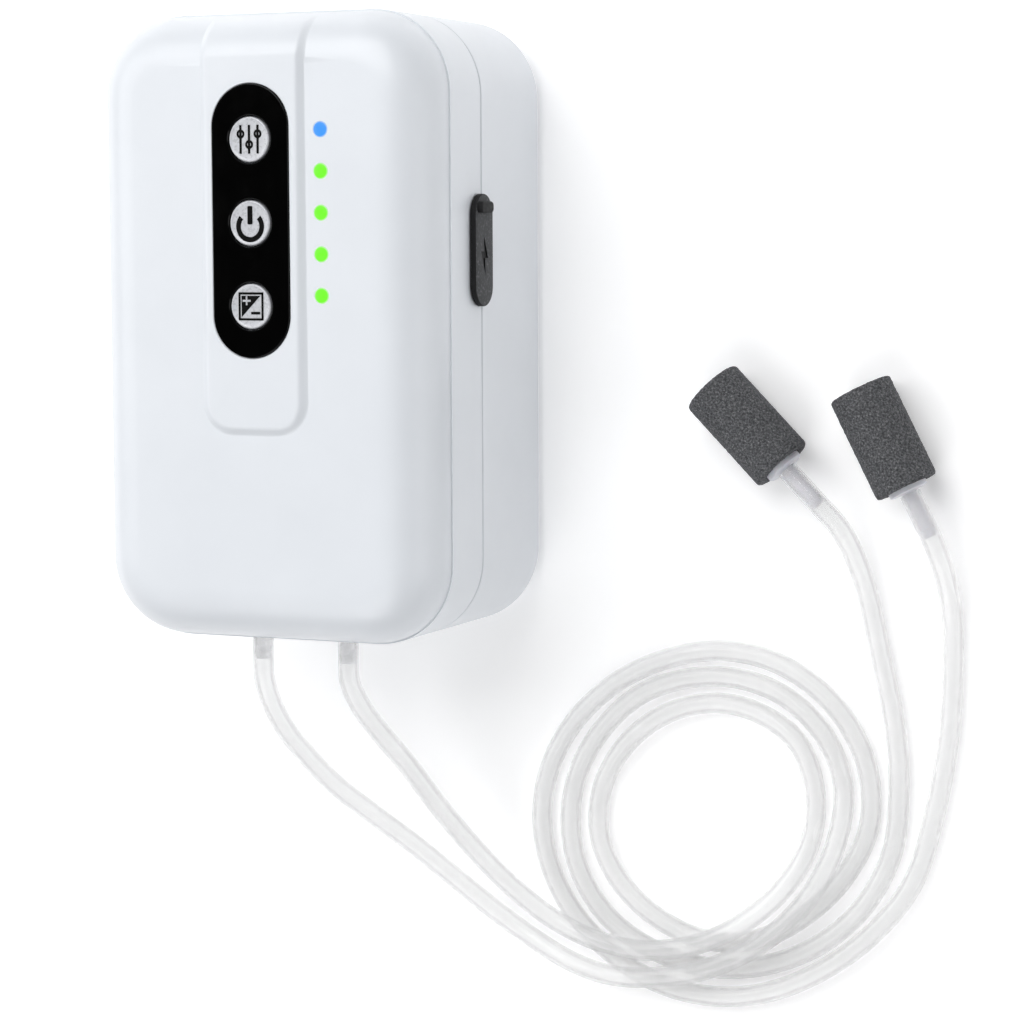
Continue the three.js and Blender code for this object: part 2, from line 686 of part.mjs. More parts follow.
function caseScrew(x, y) {
  const profile = [
    [0, BACK + 4],
    [2.6, BACK + 4],
    [2.9, BACK + 4.3],
    [2.9, BACK + 6.7],
    [1.4, BACK + 6.7],
    [1.4, SEAM + 9],
    [0.6, SEAM + 10],
    [0, SEAM + 10],
  ];
  const body = turned(profile, 12).rotateX(Math.PI / 2);
  body.translate(x, y, 0);
  const slots = [
    box([x - 1.8, x + 1.8], [y - 0.4, y + 0.4], [BACK, BACK + 5.2]),
    box([x - 0.4, x + 0.4], [y - 1.8, y + 1.8], [BACK, BACK + 5.2]),
  ];
  return cut(body, ...slots);
}

function rubberFoot(x, y) {
  const profile = [
    [0, 0],
    [FOOT_RADIUS - 0.4, 0],
    [FOOT_RADIUS, 0.4],
    [FOOT_RADIUS, BACK + 0.5],
    [0, BACK + 0.5],
  ];
  return turned(profile).rotateX(Math.PI / 2).translate(x, y, 0);
}

pairs([-1, 1], [-1, 1]).forEach(([signX, signY], i) => {
  addMesh(pump, "case_screw_" + (i + 1), caseScrew(signX * SCREW_X, signY * SCREW_Y), STEEL);
  addMesh(pump, "rubber_foot_" + (i + 1), rubberFoot(signX * FOOT_X, signY * FOOT_Y), RUBBER);
});
const filterHeights = [BACK + WALL + GAP, CHASSIS_BOTTOM - GAP];
addMesh(pump, "intake_filter", box([-13, 13], [BELLOWS_Y - 12, BELLOWS_Y + 12], filterHeights), FELT);

// ---- Air hoses and air stones, in the part's own frame ----

// From the right-hand outlet: down to the table, twice round the coil, then up to its stone.
const rightHosePath = [
  [9.75, -75.2, 43],
  [9.9, -79, 42.8],
  [11.6, -85, 40.6],
  [14.8, -92, 36.3],
  [18.8, -100, 30.6],
  [23, -111, 22.5],
  [28.5, -121.5, 15.5],
  [36.5, -131.5, 10.6],
  [46, -139, 8.3],
  [57, -143.5, 7.9],
  [69, -145, 7.9],
  [81, -143, 7.9],
  [92, -138, 7.4],
  [102, -129.5, 4.6],
  [108.5, -119, 2.6],
  [110.5, -106, 2.6],
  [106, -93.5, 2.6],
  [96, -87, 2.6],
  [85, -85.5, 2.6],
  [73, -89, 2.6],
  [63, -97, 2.6],
  [57, -108, 2.6],
  [56.5, -120, 2.6],
  [61.5, -130, 2.6],
  [71, -138, 2.6],
  [83, -142.3, 2.6],
  [96, -141.2, 2.6],
  [107.5, -134.8, 2.6],
  [117.2, -125, 2.6],
  [123.5, -112, 2.6],
  [122.5, -97, 2.6],
  [115, -84.5, 2.6],
  [103, -76, 2.6],
  [89, -73, 2.6],
  [74, -75.5, 2.6],
  [60, -82.5, 2.6],
  [48.5, -94, 2.6],
  [42.2, -108, 2.6],
  [42, -122, 2.6],
  [47, -135, 2.6],
  [57, -146, 2.6],
  [70, -153.4, 2.6],
  [84, -155.8, 2.6],
  [98, -153.8, 2.6],
  [112, -147.2, 2.6],
  [124.5, -137.2, 2.6],
  [134, -124.5, 2.6],
  [139, -108, 2.6],
  [142, -91, 2.6],
  [143, -74, 2.6],
  [142.8, -60, 3.8],
  [141.4, -50.5, 6.8],
  [139.1, -44.1, 7.5],
];
// From the left-hand outlet: under way beside the first, once round, then up to its stone.
const leftHosePath = [
  [-12.65, -75.2, 43],
  [-12.6, -79, 42.8],
  [-12, -85, 40.8],
  [-10.6, -92, 36.6],
  [-8, -99, 31.2],
  [-3.5, -107.5, 24.2],
  [3, -115, 17.8],
  [10.5, -122.5, 12],
  [19, -130.5, 7.6],
  [28.5, -138.5, 4.8],
  [39, -145.5, 3.6],
  [50, -150, 5.4],
  [61, -151.8, 7.7],
  [72, -151.3, 7.9],
  [84, -148.6, 7.9],
  [95, -143.3, 7.9],
  [104.5, -136, 7.9],
  [112, -126.5, 7],
  [116.5, -115, 4.6],
  [117.2, -103, 2.6],
  [112.5, -91.5, 2.6],
  [103, -83, 2.6],
  [91, -79.3, 2.6],
  [79, -80, 2.6],
  [67, -84.5, 2.6],
  [57.5, -93, 2.6],
  [51, -104, 2.6],
  [48.8, -116, 2.6],
  [51, -128, 2.6],
  [58, -138.5, 2.6],
  [69, -145.5, 2.6],
  [82, -148.8, 2.6],
  [96, -147.7, 2.6],
  [110, -142, 2.6],
  [121.5, -132, 2.6],
  [128.8, -118.5, 2.6],
  [130.5, -104, 2.6],
  [129.5, -89, 2.6],
  [126, -72, 2.6],
  [122, -54.5, 3.8],
  [117.9, -43.5, 6.9],
  [112.7, -37.6, 7.5],
];

// A stone's two pieces lie along a line from where its hose ends, at the height of its radius.
const STEM_START = GAP;
const FLANGE_START = STEM_START + STEM_LENGTH;
const STONE_START = FLANGE_START + STEM_FLANGE + GAP;

function stoneStem() {
  const profile = [
    [0, STEM_START],
    [1.3, STEM_START],
    [1.9, STEM_START + 2],
    [1.6, STEM_START + 2.2],
    [1.6, FLANGE_START],
    [STEM_FLANGE_RADIUS - 0.3, FLANGE_START],
    [STEM_FLANGE_RADIUS, FLANGE_START + 0.3],
    [STEM_FLANGE_RADIUS, FLANGE_START + STEM_FLANGE],
    [0, FLANGE_START + STEM_FLANGE],
  ];
  return turned(profile);
}

function airStone() {
  const end = STONE_START + STONE_LENGTH;
  const profile = [
    [0, STONE_START],
    [STONE_RADIUS - 0.8, STONE_START],
    [STONE_RADIUS, STONE_START + 0.8],
    [STONE_RADIUS, end - 1],
    [STONE_RADIUS - 1, end],
    [0, end],
  ];
  return turned(profile, 20);
}

const hoses = [
  ["right", rightHosePath, [-0.456, 0.89, 0], 52],
  ["left", leftHosePath, [-0.7, 0.714, 0], 38],
];
for (const [name, path, heading, steps] of hoses) {
  addMesh(part, name + "_air_hose", tube(path, HOSE_RADIUS, steps), SILICONE);
  const end = new THREE.Group();
  end.position.set(...path[path.length - 1]);
  end.quaternion.setFromUnitVectors(
    new THREE.Vector3(0, 1, 0),
    new THREE.Vector3(...heading).normalize(),
  );
  part.add(end);
  addMesh(end, name + "_stone_stem", stoneStem(), PALE_PLASTIC);
  addMesh(end, name + "_air_stone", airStone(), STONE_GREY);
}

export default part;
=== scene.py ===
import math

import bmesh
import bpy
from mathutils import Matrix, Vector


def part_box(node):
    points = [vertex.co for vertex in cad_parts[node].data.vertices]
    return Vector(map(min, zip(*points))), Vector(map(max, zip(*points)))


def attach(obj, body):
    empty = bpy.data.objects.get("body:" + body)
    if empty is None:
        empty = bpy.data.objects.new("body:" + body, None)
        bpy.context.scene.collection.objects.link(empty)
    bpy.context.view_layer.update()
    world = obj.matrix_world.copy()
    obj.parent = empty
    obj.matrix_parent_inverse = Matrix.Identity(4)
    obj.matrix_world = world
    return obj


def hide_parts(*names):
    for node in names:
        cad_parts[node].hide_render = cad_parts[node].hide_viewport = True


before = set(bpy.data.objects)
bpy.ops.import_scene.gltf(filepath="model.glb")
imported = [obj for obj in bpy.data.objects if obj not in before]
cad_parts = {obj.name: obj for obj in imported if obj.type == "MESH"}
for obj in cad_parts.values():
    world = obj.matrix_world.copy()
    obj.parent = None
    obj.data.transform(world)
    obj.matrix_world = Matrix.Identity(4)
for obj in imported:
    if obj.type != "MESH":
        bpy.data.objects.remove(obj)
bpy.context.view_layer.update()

# ---- Rear shell ----
# The back half of the case: a deep white ABS tray with a rounded back edge, moulded in one
# shot. A lip round its rim locates the front shell, and four bosses take the case screws.


def alone(piece):
    """Selects one object and nothing else."""
    bpy.ops.object.select_all(action="DESELECT")
    piece.select_set(True)
    bpy.context.view_layer.objects.active = piece


def choose(piece, kind, test):
    """In edit mode, selects the corners, edges or faces that pass a test."""
    bpy.context.tool_settings.mesh_select_mode = (kind == "VERT", kind == "EDGE", kind == "FACE")
    bpy.ops.mesh.select_all(action="DESELECT")
    mesh = bmesh.from_edit_mesh(piece.data)
    found = {"VERT": mesh.verts, "EDGE": mesh.edges, "FACE": mesh.faces}[kind]
    for item in found:
        if test(item):
            item.select_set(True)
    mesh.select_flush_mode()
    bmesh.update_edit_mesh(piece.data)


def facing(direction, at=None):
    """A test for flat faces that look one way, at one height along it if given."""
    way = Vector(direction)

    def test(face):
        if face.normal.dot(way) < 0.999:
            return False
        return at is None or abs(face.calc_center_median().dot(way) - at) < 1e-5

    return test


def settle(piece):
    """Puts the object's place, turn and scale into its mesh."""
    alone(piece)
    bpy.ops.object.transform_apply(location=True, rotation=True, scale=True)


def block(name, low, high, radius=0.0, axis=2, segments=12):
    """A block from corner to corner, its four edges along one axis rounded."""
    low, high = Vector(low), Vector(high)
    bpy.ops.object.select_all(action="DESELECT")
    bpy.ops.mesh.primitive_cube_add(size=1, location=(low + high) / 2, scale=high - low)
    piece = bpy.context.active_object
    piece.name = name
    settle(piece)
    if radius:
        bpy.ops.object.mode_set(mode="EDIT")
        choose(piece, "EDGE", lambda e: abs((e.verts[0].co - e.verts[1].co)[axis]) > 1e-6)
        bpy.ops.mesh.bevel(offset=radius, segments=segments, affect="EDGES")
        bpy.ops.object.mode_set(mode="OBJECT")
    return piece


def drawn(name, profile, axis=(0, 0, 1), place=(0, 0, 0), sides=40):
    """A round piece drawn up from its first ring: profile is (radius, height) in mm."""
    bpy.ops.object.select_all(action="DESELECT")
    radius, height = profile[0]
    bpy.ops.mesh.primitive_circle_add(
        vertices=sides, radius=radius / 1000, fill_type="NGON", location=(0, 0, height / 1000)
    )
    piece = bpy.context.active_object
    piece.name = name
    settle(piece)
    bpy.ops.object.mode_set(mode="EDIT")
    bpy.context.tool_settings.mesh_select_mode = (False, False, True)
    bpy.ops.mesh.select_all(action="SELECT")
    for (old_radius, old_height), (new_radius, new_height) in zip(profile, profile[1:]):
        rise = (new_height - old_height) / 1000
        ratio = new_radius / old_radius
        bpy.ops.mesh.extrude_region_move(TRANSFORM_OT_translate={"value": (0, 0, rise)})
        bpy.ops.transform.resize(
            value=(ratio, ratio, 1), center_override=(0, 0, new_height / 1000)
        )
    bpy.ops.mesh.select_all(action="SELECT")
    bpy.ops.mesh.normals_make_consistent(inside=False)
    bpy.ops.object.mode_set(mode="OBJECT")
    piece.rotation_mode = "QUATERNION"
    piece.rotation_quaternion = Vector((0, 0, 1)).rotation_difference(Vector(axis))
    piece.location = place
    settle(piece)
    piece.rotation_mode = "XYZ"
    return piece


def joined(pieces):
    """Several objects made one, under the first one's name."""
    bpy.ops.object.select_all(action="DESELECT")
    for piece in pieces:
        piece.select_set(True)
    bpy.context.view_layer.objects.active = pieces[0]
    bpy.ops.object.join()
    return pieces[0]


def applied(piece, kind, **settings):
    """Adds a modifier with these settings and applies it."""
    modifier = piece.modifiers.new(kind.lower(), kind)
    for name, value in settings.items():
        setattr(modifier, name, value)
    alone(piece)
    bpy.ops.object.modifier_apply(modifier=modifier.name)


def combined(piece, tool, operation):
    """Cuts a tool out of a piece, or adds it, and removes the tool."""
    applied(piece, "BOOLEAN", operation=operation, solver="EXACT", use_self=True, object=tool)
    bpy.data.objects.remove(tool)


def smooth(piece, degrees=30):
    """Smooth shading, with every edge sharper than this left crisp."""
    alone(piece)
    bpy.ops.object.shade_smooth_by_angle(angle=math.radians(degrees))


rear_low, rear_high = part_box("rear_shell")
middle_x = (rear_low.x + rear_high.x) / 2
middle_y = (rear_low.y + rear_high.y) / 2
corner_radius = 0.0188
wall = 0.0024
lip_height = 0.001


def around(xs, ys):
    """The places that mirror each other about the middle of the case, for sizes in mm."""
    return [(middle_x + x / 1000, middle_y + y / 1000) for x in xs for y in ys]


screw_places = around((-31, 31), (-59.5, 59.5))
foot_places = around((-30, 30), (-44, 44))

rear_shell = block("case_back", rear_low, rear_high, corner_radius, segments=16)
bpy.ops.object.mode_set(mode="EDIT")
choose(rear_shell, "FACE", facing((0, 0, -1)))
bpy.ops.mesh.region_to_loop()
bpy.ops.mesh.bevel(offset=0.004, segments=8, affect="EDGES")
choose(rear_shell, "FACE", facing((0, 0, 1)))
bpy.ops.mesh.region_to_loop()
bpy.ops.mesh.bevel(offset=0.00025, segments=1, affect="EDGES")
choose(rear_shell, "FACE", facing((0, 0, 1), rear_high.z))
bpy.ops.mesh.inset(thickness=0.0009, depth=0)
bpy.ops.mesh.extrude_region_move(TRANSFORM_OT_translate={"value": (0, 0, lip_height)})
bpy.ops.mesh.inset(thickness=wall - 0.00115, depth=0)
depth = rear_high.z + lip_height - rear_low.z - wall
bpy.ops.mesh.extrude_region_move(TRANSFORM_OT_translate={"value": (0, 0, -depth)})
bpy.ops.object.mode_set(mode="OBJECT")

bosses = []
for x, y in screw_places:
    bosses.append(drawn("boss", [(5.0, 3.2), (4.6, 6), (4.2, rear_high.z * 1000)], place=(x, y, 0)))
for x, y in around((-33, 33), (-50, -8)):
    bosses.append(drawn("pin", [(3.2, 3.2), (3, 6.2), (1.5, 6.2), (1.3, 10)], place=(x, y, 0)))
combined(rear_shell, joined(bosses), "UNION")


def port_pocket():
    """The pocket under the charging cover, and the slot that the socket looks through."""
    cover_low, cover_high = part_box("port_cover")
    y, z = (cover_low.y + cover_high.y) / 2, (cover_low.z + cover_high.z) / 2
    x = rear_high.x
    pocket = block(
        "pocket", (x - 0.0016, y - 0.011, z - 0.0035), (x + 0.003, y + 0.011, z + 0.0035), 0.0034, 0
    )
    slot = block("slot", (x - 0.005, y - 0.0049, z - 0.002), (x, y + 0.0049, z + 0.002), 0.0018, 0)
    return joined([pocket, slot])


rear_tools = []
for x, y in screw_places:
    counterbore = [(3.8, 0), (3.7, 0.9), (3.3, 1.5), (3.3, 8.2), (1.8, 8.2), (1.8, 38.5)]
    rear_tools.append(drawn("counterbore", counterbore, place=(x, y, 0), sides=32))
for x, y in foot_places:
    rear_tools.append(drawn("foot_recess", [(5.3, 0), (5.3, 2)], place=(x, y, 0)))
filter_low, filter_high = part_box("intake_filter")
slot_y = (filter_low.y + filter_high.y) / 2
for i in range(-2, 3):
    y = slot_y + i * 0.004
    low = (middle_x - 0.010, y - 0.0008, 0)
    high = (middle_x + 0.010, y + 0.0008, rear_low.z + wall + 0.001)
    rear_tools.append(block("intake_slot", low, high, 0.00079, segments=5))
combined(rear_shell, joined(rear_tools), "DIFFERENCE")
combined(rear_shell, port_pocket(), "DIFFERENCE")
smooth(rear_shell)
applied(rear_shell, "WEIGHTED_NORMAL", keep_sharp=True)


def finish_of(name, **sockets):
    """A new material: its surface shader takes these values, as bare_names of its sockets."""
    material = bpy.data.materials.new(name)
    material.use_nodes = True
    shader = material.node_tree.nodes["Principled BSDF"]
    for socket, value in sockets.items():
        shader.inputs[socket.replace("_", " ")].default_value = value
    return material


def pattern(material, kind, scale, stretch=(1, 1, 1), **sockets):
    """A texture node over the piece's own metres; scale 1000 gives grains of about 1 mm."""
    nodes, links = material.node_tree.nodes, material.node_tree.links
    place = nodes.new("ShaderNodeTexCoord")
    turn = nodes.new("ShaderNodeMapping")
    turn.inputs["Scale"].default_value = stretch
    texture = nodes.new(kind)
    texture.inputs["Scale"].default_value = scale
    for socket, value in sockets.items():
        texture.inputs[socket].default_value = value
    links.new(place.outputs["Object"], turn.inputs["Vector"])
    links.new(turn.outputs["Vector"], texture.inputs["Vector"])
    return texture


def shaded(material, texture, socket, stops, output=0):
    """Turns a texture into colours or greys between stops, for one socket of the shader."""
    nodes, links = material.node_tree.nodes, material.node_tree.links
    ramp = nodes.new("ShaderNodeValToRGB")
    while len(ramp.color_ramp.elements) < len(stops):
        ramp.color_ramp.elements.new(0.5)
    for element, (position, colour) in zip(ramp.color_ramp.elements, stops):
        element.position = position
        shade = colour if isinstance(colour, tuple) else (colour, colour, colour)
        element.color = (*shade, 1)
    links.new(texture.outputs[output], ramp.inputs["Fac"])
    links.new(ramp.outputs["Color"], nodes["Principled BSDF"].inputs[socket])


def raised(material, texture, strength, distance, output=0):
    """Gives the surface a fine relief, distance metres deep."""
    nodes, links = material.node_tree.nodes, material.node_tree.links
    bump = nodes.new("ShaderNodeBump")
    bump.inputs["Strength"].default_value = strength
    bump.inputs["Distance"].default_value = distance
    links.new(texture.outputs[output], bump.inputs["Height"])
    links.new(bump.outputs["Normal"], nodes["Principled BSDF"].inputs["Normal"])


case_white = finish_of("satin_white_plastic", IOR=1.5, Coat_Weight=0.3, Coat_Roughness=0.2)
flow = pattern(case_white, "ShaderNodeTexNoise", 45, Detail=3)
shaded(case_white, flow, "Base Color", [(0.3, (0.765, 0.795, 0.835)), (0.7, (0.79, 0.82, 0.86))])
satin = pattern(case_white, "ShaderNodeTexNoise", 350, Detail=4)
shaded(case_white, satin, "Roughness", [(0.3, 0.36), (0.7, 0.44)])
skin = pattern(case_white, "ShaderNodeTexNoise", 2600, Detail=2)
raised(case_white, skin, 0.25, 0.00001)

rear_shell.data.materials.append(case_white)
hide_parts("rear_shell")
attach(rear_shell, "pump_body")

# ---- Air engine ----
# Inside the rear shell: a nylon chassis, a laminated iron core with its copper coil, and two
# spring-steel arms whose magnets it pulls to and fro. They work the rubber bellows.

nylon = finish_of("grey_nylon", Roughness=0.5)
mottle = pattern(nylon, "ShaderNodeTexNoise", 220, Detail=4)
shaded(nylon, mottle, "Base Color", [(0.3, (0.52, 0.54, 0.57)), (0.7, (0.60, 0.62, 0.65))])
raised(nylon, pattern(nylon, "ShaderNodeTexNoise", 1800, Detail=2), 0.3, 0.00002)

steel = finish_of("spring_steel", Metallic=1.0)
brushing = pattern(steel, "ShaderNodeTexNoise", 900, stretch=(1, 12, 1), Detail=3)
shaded(steel, brushing, "Base Color", [(0.3, (0.45, 0.46, 0.48)), (0.7, (0.60, 0.61, 0.63))])
shaded(steel, brushing, "Roughness", [(0.3, 0.25), (0.7, 0.42)])
raised(steel, brushing, 0.2, 0.00001)

laminations = finish_of("laminated_iron", Metallic=0.9, Roughness=0.5)
sheets = pattern(laminations, "ShaderNodeTexWave", 320, Distortion=0.3)
sheets.bands_direction = "Z"
shaded(laminations, sheets, "Base Color", [(0.1, (0.06, 0.06, 0.07)), (0.6, (0.22, 0.22, 0.24))])
raised(laminations, sheets, 0.6, 0.00005)

magnet_grey = finish_of("plated_magnet", Metallic=1.0)
plating = pattern(magnet_grey, "ShaderNodeTexNoise", 500, Detail=5)
shaded(magnet_grey, plating, "Base Color", [(0.3, (0.32, 0.32, 0.34)), (0.7, (0.42, 0.42, 0.44))])
shaded(magnet_grey, plating, "Roughness", [(0.3, 0.2), (0.7, 0.35)])

copper = finish_of("enamelled_copper", Metallic=0.9)
turns = pattern(copper, "ShaderNodeTexWave", 480, Distortion=0.6)
turns.bands_direction = "Y"
shaded(copper, turns, "Base Color", [(0.1, (0.16, 0.05, 0.02)), (0.6, (0.50, 0.19, 0.07))])
shaded(copper, turns, "Roughness", [(0.2, 0.45), (0.8, 0.25)])
raised(copper, turns, 0.8, 0.0001)

engine_rubber = finish_of("black_rubber", Specular_IOR_Level=0.35)
bloom = pattern(engine_rubber, "ShaderNodeTexNoise", 300, Detail=5)
shaded(
    engine_rubber,
    bloom,
    "Base Color",
    [(0.3, (0.018, 0.018, 0.019)), (0.75, (0.045, 0.045, 0.047))],
)
shaded(engine_rubber, bloom, "Roughness", [(0.3, 0.62), (0.7, 0.82)])
raised(engine_rubber, pattern(engine_rubber, "ShaderNodeTexNoise", 2500, Detail=2), 0.4, 0.00003)

felt = finish_of("white_felt", Roughness=0.95, Sheen_Weight=0.4)
fibres = pattern(felt, "ShaderNodeTexNoise", 1500, stretch=(1, 3, 1), Detail=6, Distortion=1.5)
shaded(felt, fibres, "Base Color", [(0.3, (0.62, 0.60, 0.55)), (0.7, (0.85, 0.84, 0.80))])
raised(felt, fibres, 0.9, 0.0002)

pale_plastic = finish_of(
    "pale_plastic", Roughness=0.3, Subsurface_Weight=0.1, Subsurface_Scale=0.001
)
cloud = pattern(pale_plastic, "ShaderNodeTexNoise", 260, Detail=3)
shaded(pale_plastic, cloud, "Base Color", [(0.3, (0.70, 0.70, 0.755)), (0.7, (0.76, 0.76, 0.81))])
raised(pale_plastic, pattern(pale_plastic, "ShaderNodeTexNoise", 2200, Detail=2), 0.2, 0.00001)

silicone = finish_of(
    "clear_silicone", Base_Color=(1, 1, 1, 1), IOR=1.41, Transmission_Weight=0.58, Alpha=0.4
)
haze = pattern(silicone, "ShaderNodeTexNoise", 500, Detail=3)
shaded(silicone, haze, "Roughness", [(0.3, 0.06), (0.7, 0.14)])
raised(silicone, pattern(silicone, "ShaderNodeTexNoise", 180, Detail=2), 0.1, 0.00003)


def dress(material, *nodes):
    """Gives CAD nodes this material, in their objects' own slots."""
    for node in nodes:
        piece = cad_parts[node]
        if not piece.material_slots:
            piece.data.materials.append(None)
        for each in piece.material_slots:
            each.link = "OBJECT"
            each.material = material


dress(nylon, "pump_chassis", "left_valve_block", "right_valve_block")
dress(steel, "left_swing_arm", "right_swing_arm")
dress(laminations, "magnet_core")
dress(magnet_grey, "left_arm_magnet", "right_arm_magnet")
dress(copper, "coil_winding")
dress(engine_rubber, "left_pivot_bush", "right_pivot_bush", "left_bellows", "right_bellows")
dress(felt, "intake_filter")
dress(silicone, "left_inner_hose", "right_inner_hose")

# ---- Batteries and charging socket ----
# Two lithium cells in shrink wrap lie behind the board. Their leads, the charging lead and the
# coil lead are soldered to it. The socket stands on its own small board in the side wall.

cell_wrap = finish_of("blue_shrink_wrap", Coat_Weight=0.5, Coat_Roughness=0.2)
crinkle = pattern(cell_wrap, "ShaderNodeTexNoise", 160, Detail=3)
shaded(cell_wrap, crinkle, "Base Color", [(0.3, (0.02, 0.11, 0.40)), (0.7, (0.035, 0.17, 0.52))])
shaded(cell_wrap, crinkle, "Roughness", [(0.3, 0.3), (0.7, 0.45)])
raised(cell_wrap, crinkle, 0.4, 0.0001)


def wire_finish(name, dark, light):
    """Soft PVC insulation, a little uneven in shade."""
    material = finish_of(name, Roughness=0.45)
    streak = pattern(material, "ShaderNodeTexNoise", 700, Detail=3)
    shaded(material, streak, "Base Color", [(0.3, dark), (0.7, light)])
    raised(material, streak, 0.2, 0.00002)
    return material


red_wire = wire_finish("red_insulation", (0.36, 0.015, 0.012), (0.50, 0.03, 0.02))
black_wire = wire_finish("black_insulation", (0.010, 0.010, 0.011), (0.025, 0.025, 0.027))

board_green = finish_of("green_solder_mask", Coat_Weight=0.4, Coat_Roughness=0.15, Roughness=0.45)
tracks = pattern(board_green, "ShaderNodeTexBrick", 220)
tracks.inputs["Color1"].default_value = (0.010, 0.11, 0.035, 1)
tracks.inputs["Color2"].default_value = (0.014, 0.14, 0.045, 1)
tracks.inputs["Mortar"].default_value = (0.03, 0.24, 0.08, 1)
tracks.inputs["Mortar Size"].default_value = 0.03
board_green.node_tree.links.new(
    tracks.outputs["Color"], board_green.node_tree.nodes["Principled BSDF"].inputs["Base Color"]
)
raised(board_green, tracks, 0.4, 0.00004, output=1)

chip_black = finish_of("moulded_epoxy", Roughness=0.55)
grit = pattern(chip_black, "ShaderNodeTexNoise", 1500, Detail=3)
shaded(chip_black, grit, "Base Color", [(0.3, (0.010, 0.010, 0.011)), (0.7, (0.022, 0.022, 0.024))])
raised(chip_black, grit, 0.3, 0.00002)

dress(cell_wrap, "battery_cell_1", "battery_cell_2")
dress(red_wire, "battery_lead_red", "charge_lead")
dress(black_wire, "battery_lead_black", "coil_lead")
dress(board_green, "control_board", "charge_board")
dress(chip_black, "controller_chip", "mode_switch", "power_switch", "level_switch")
dress(pale_plastic, "mode_plunger", "power_plunger", "level_plunger")
dress(steel, "charge_port")

# ---- Front shell ----
# The front half of the case: a white ABS cover whose sides step in at a ledge and then round
# over to a flat face. A raised strip runs down the face and fades out over the top end.

front_low, front_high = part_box("front_shell")
ledge = 0.0535
ledge_step = 0.00035
face_height = 0.066
cap_inset = 0.012
cap_steps = 14
strip_rise = 0.0013

front_shell = block(
    "case_front", front_low, (front_high.x, front_high.y, ledge), corner_radius, segments=16
)
bpy.ops.object.mode_set(mode="EDIT")
choose(front_shell, "FACE", facing((0, 0, 1)))
bpy.ops.mesh.inset(thickness=ledge_step, depth=0)
quarter = [math.pi / 2 * step / cap_steps for step in range(cap_steps + 1)]
for before, after in zip(quarter, quarter[1:]):
    bpy.ops.mesh.inset(
        thickness=(cap_inset - ledge_step) * (math.cos(before) - math.cos(after)),
        depth=(face_height - ledge) * (math.sin(after) - math.sin(before)),
    )
bpy.ops.mesh.inset(thickness=0.0005, depth=0)

choose(front_shell, "FACE", facing((0, 0, -1)))
bpy.ops.mesh.region_to_loop()
bpy.ops.mesh.bevel(offset=0.00025, segments=1, affect="EDGES")
choose(front_shell, "FACE", facing((0, 0, -1), -front_low.z))
bpy.ops.mesh.inset(thickness=0.00075, depth=0)
bpy.ops.mesh.extrude_region_move(TRANSFORM_OT_translate={"value": (0, 0, lip_height + 0.0002)})
bpy.ops.mesh.inset(thickness=wall - 0.001, depth=0)
rise = ledge - wall / 2 - front_low.z - lip_height - 0.0002
bpy.ops.mesh.extrude_region_move(TRANSFORM_OT_translate={"value": (0, 0, rise)})
inner_quarter = quarter[::2]
for before, after in zip(inner_quarter, inner_quarter[1:]):
    bpy.ops.mesh.inset(
        thickness=(cap_inset - wall) * (math.cos(before) - math.cos(after)),
        depth=-(face_height - ledge - wall / 2) * (math.sin(after) - math.sin(before)),
    )
bpy.ops.object.mode_set(mode="OBJECT")

# The strip: a plate whose shoulder swells up out of the face, bent over the top end.
shoulder = 0.0024
strip_half = 0.0112
strip_low_y = middle_y - 0.0217
foot = face_height - 0.00003
strip_end_y = front_high.y - ledge_step - 0.00025
strip = block(
    "strip",
    (middle_x - strip_half - shoulder, strip_low_y - shoulder, face_height - 0.004),
    (middle_x + strip_half + shoulder, strip_end_y, foot),
)
bpy.ops.object.mode_set(mode="EDIT")
choose(
    strip,
    "EDGE",
    lambda e: abs(e.verts[0].co.z - e.verts[1].co.z) > 1e-6 and e.verts[0].co.y < middle_y,
)
bpy.ops.mesh.bevel(offset=0.0055 + shoulder, segments=12, affect="EDGES")
choose(strip, "FACE", facing((0, 0, 1)))
swell = [step / 8 for step in range(9)]
for before, after in zip(swell, swell[1:]):
    lift = after * after * (3 - 2 * after) - before * before * (3 - 2 * before)
    bpy.ops.mesh.inset(
        thickness=shoulder * (after - before),
        depth=(strip_rise + face_height - foot) * lift,
    )
bpy.ops.mesh.inset(thickness=0.0004, depth=0)
cap_start_y = front_high.y - cap_inset
for angle in quarter[:-1]:
    y = front_high.y - ledge_step - (cap_inset - ledge_step) * (1 - math.cos(angle))
    if y < strip_end_y:
        bpy.ops.mesh.select_all(action="SELECT")
        bpy.ops.mesh.bisect(plane_co=(0, y, 0), plane_no=(0, 1, 0))
rows = sorted({round(v.co.y, 6) for v in bmesh.from_edit_mesh(strip.data).verts})
for row in rows:
    over = (row - cap_start_y) / (cap_inset - ledge_step)
    if over > 0:
        choose(strip, "VERT", lambda v: abs(v.co.y - row) < 2e-6)
        drop = math.sqrt(1 - min(over, 0.999) ** 2)
        bpy.ops.transform.resize(value=(1, 1, drop), center_override=(0, 0, ledge))
bpy.ops.object.mode_set(mode="OBJECT")
combined(front_shell, strip, "UNION")

posts = []
for x, y in screw_places:
    posts.append(drawn("post", [(3.6, front_low.z * 1000 + 1.4), (3.9, 63.5)], place=(x, y, 0)))
for x, y in around((-16, 18), (-10, 55)):
    board_post = [(1.0, 50.8), (1.2, 53.9), (2.6, 53.9), (2.8, 64.8)]
    posts.append(drawn("post", board_post, place=(x, y, 0)))
combined(front_shell, joined(posts), "UNION")

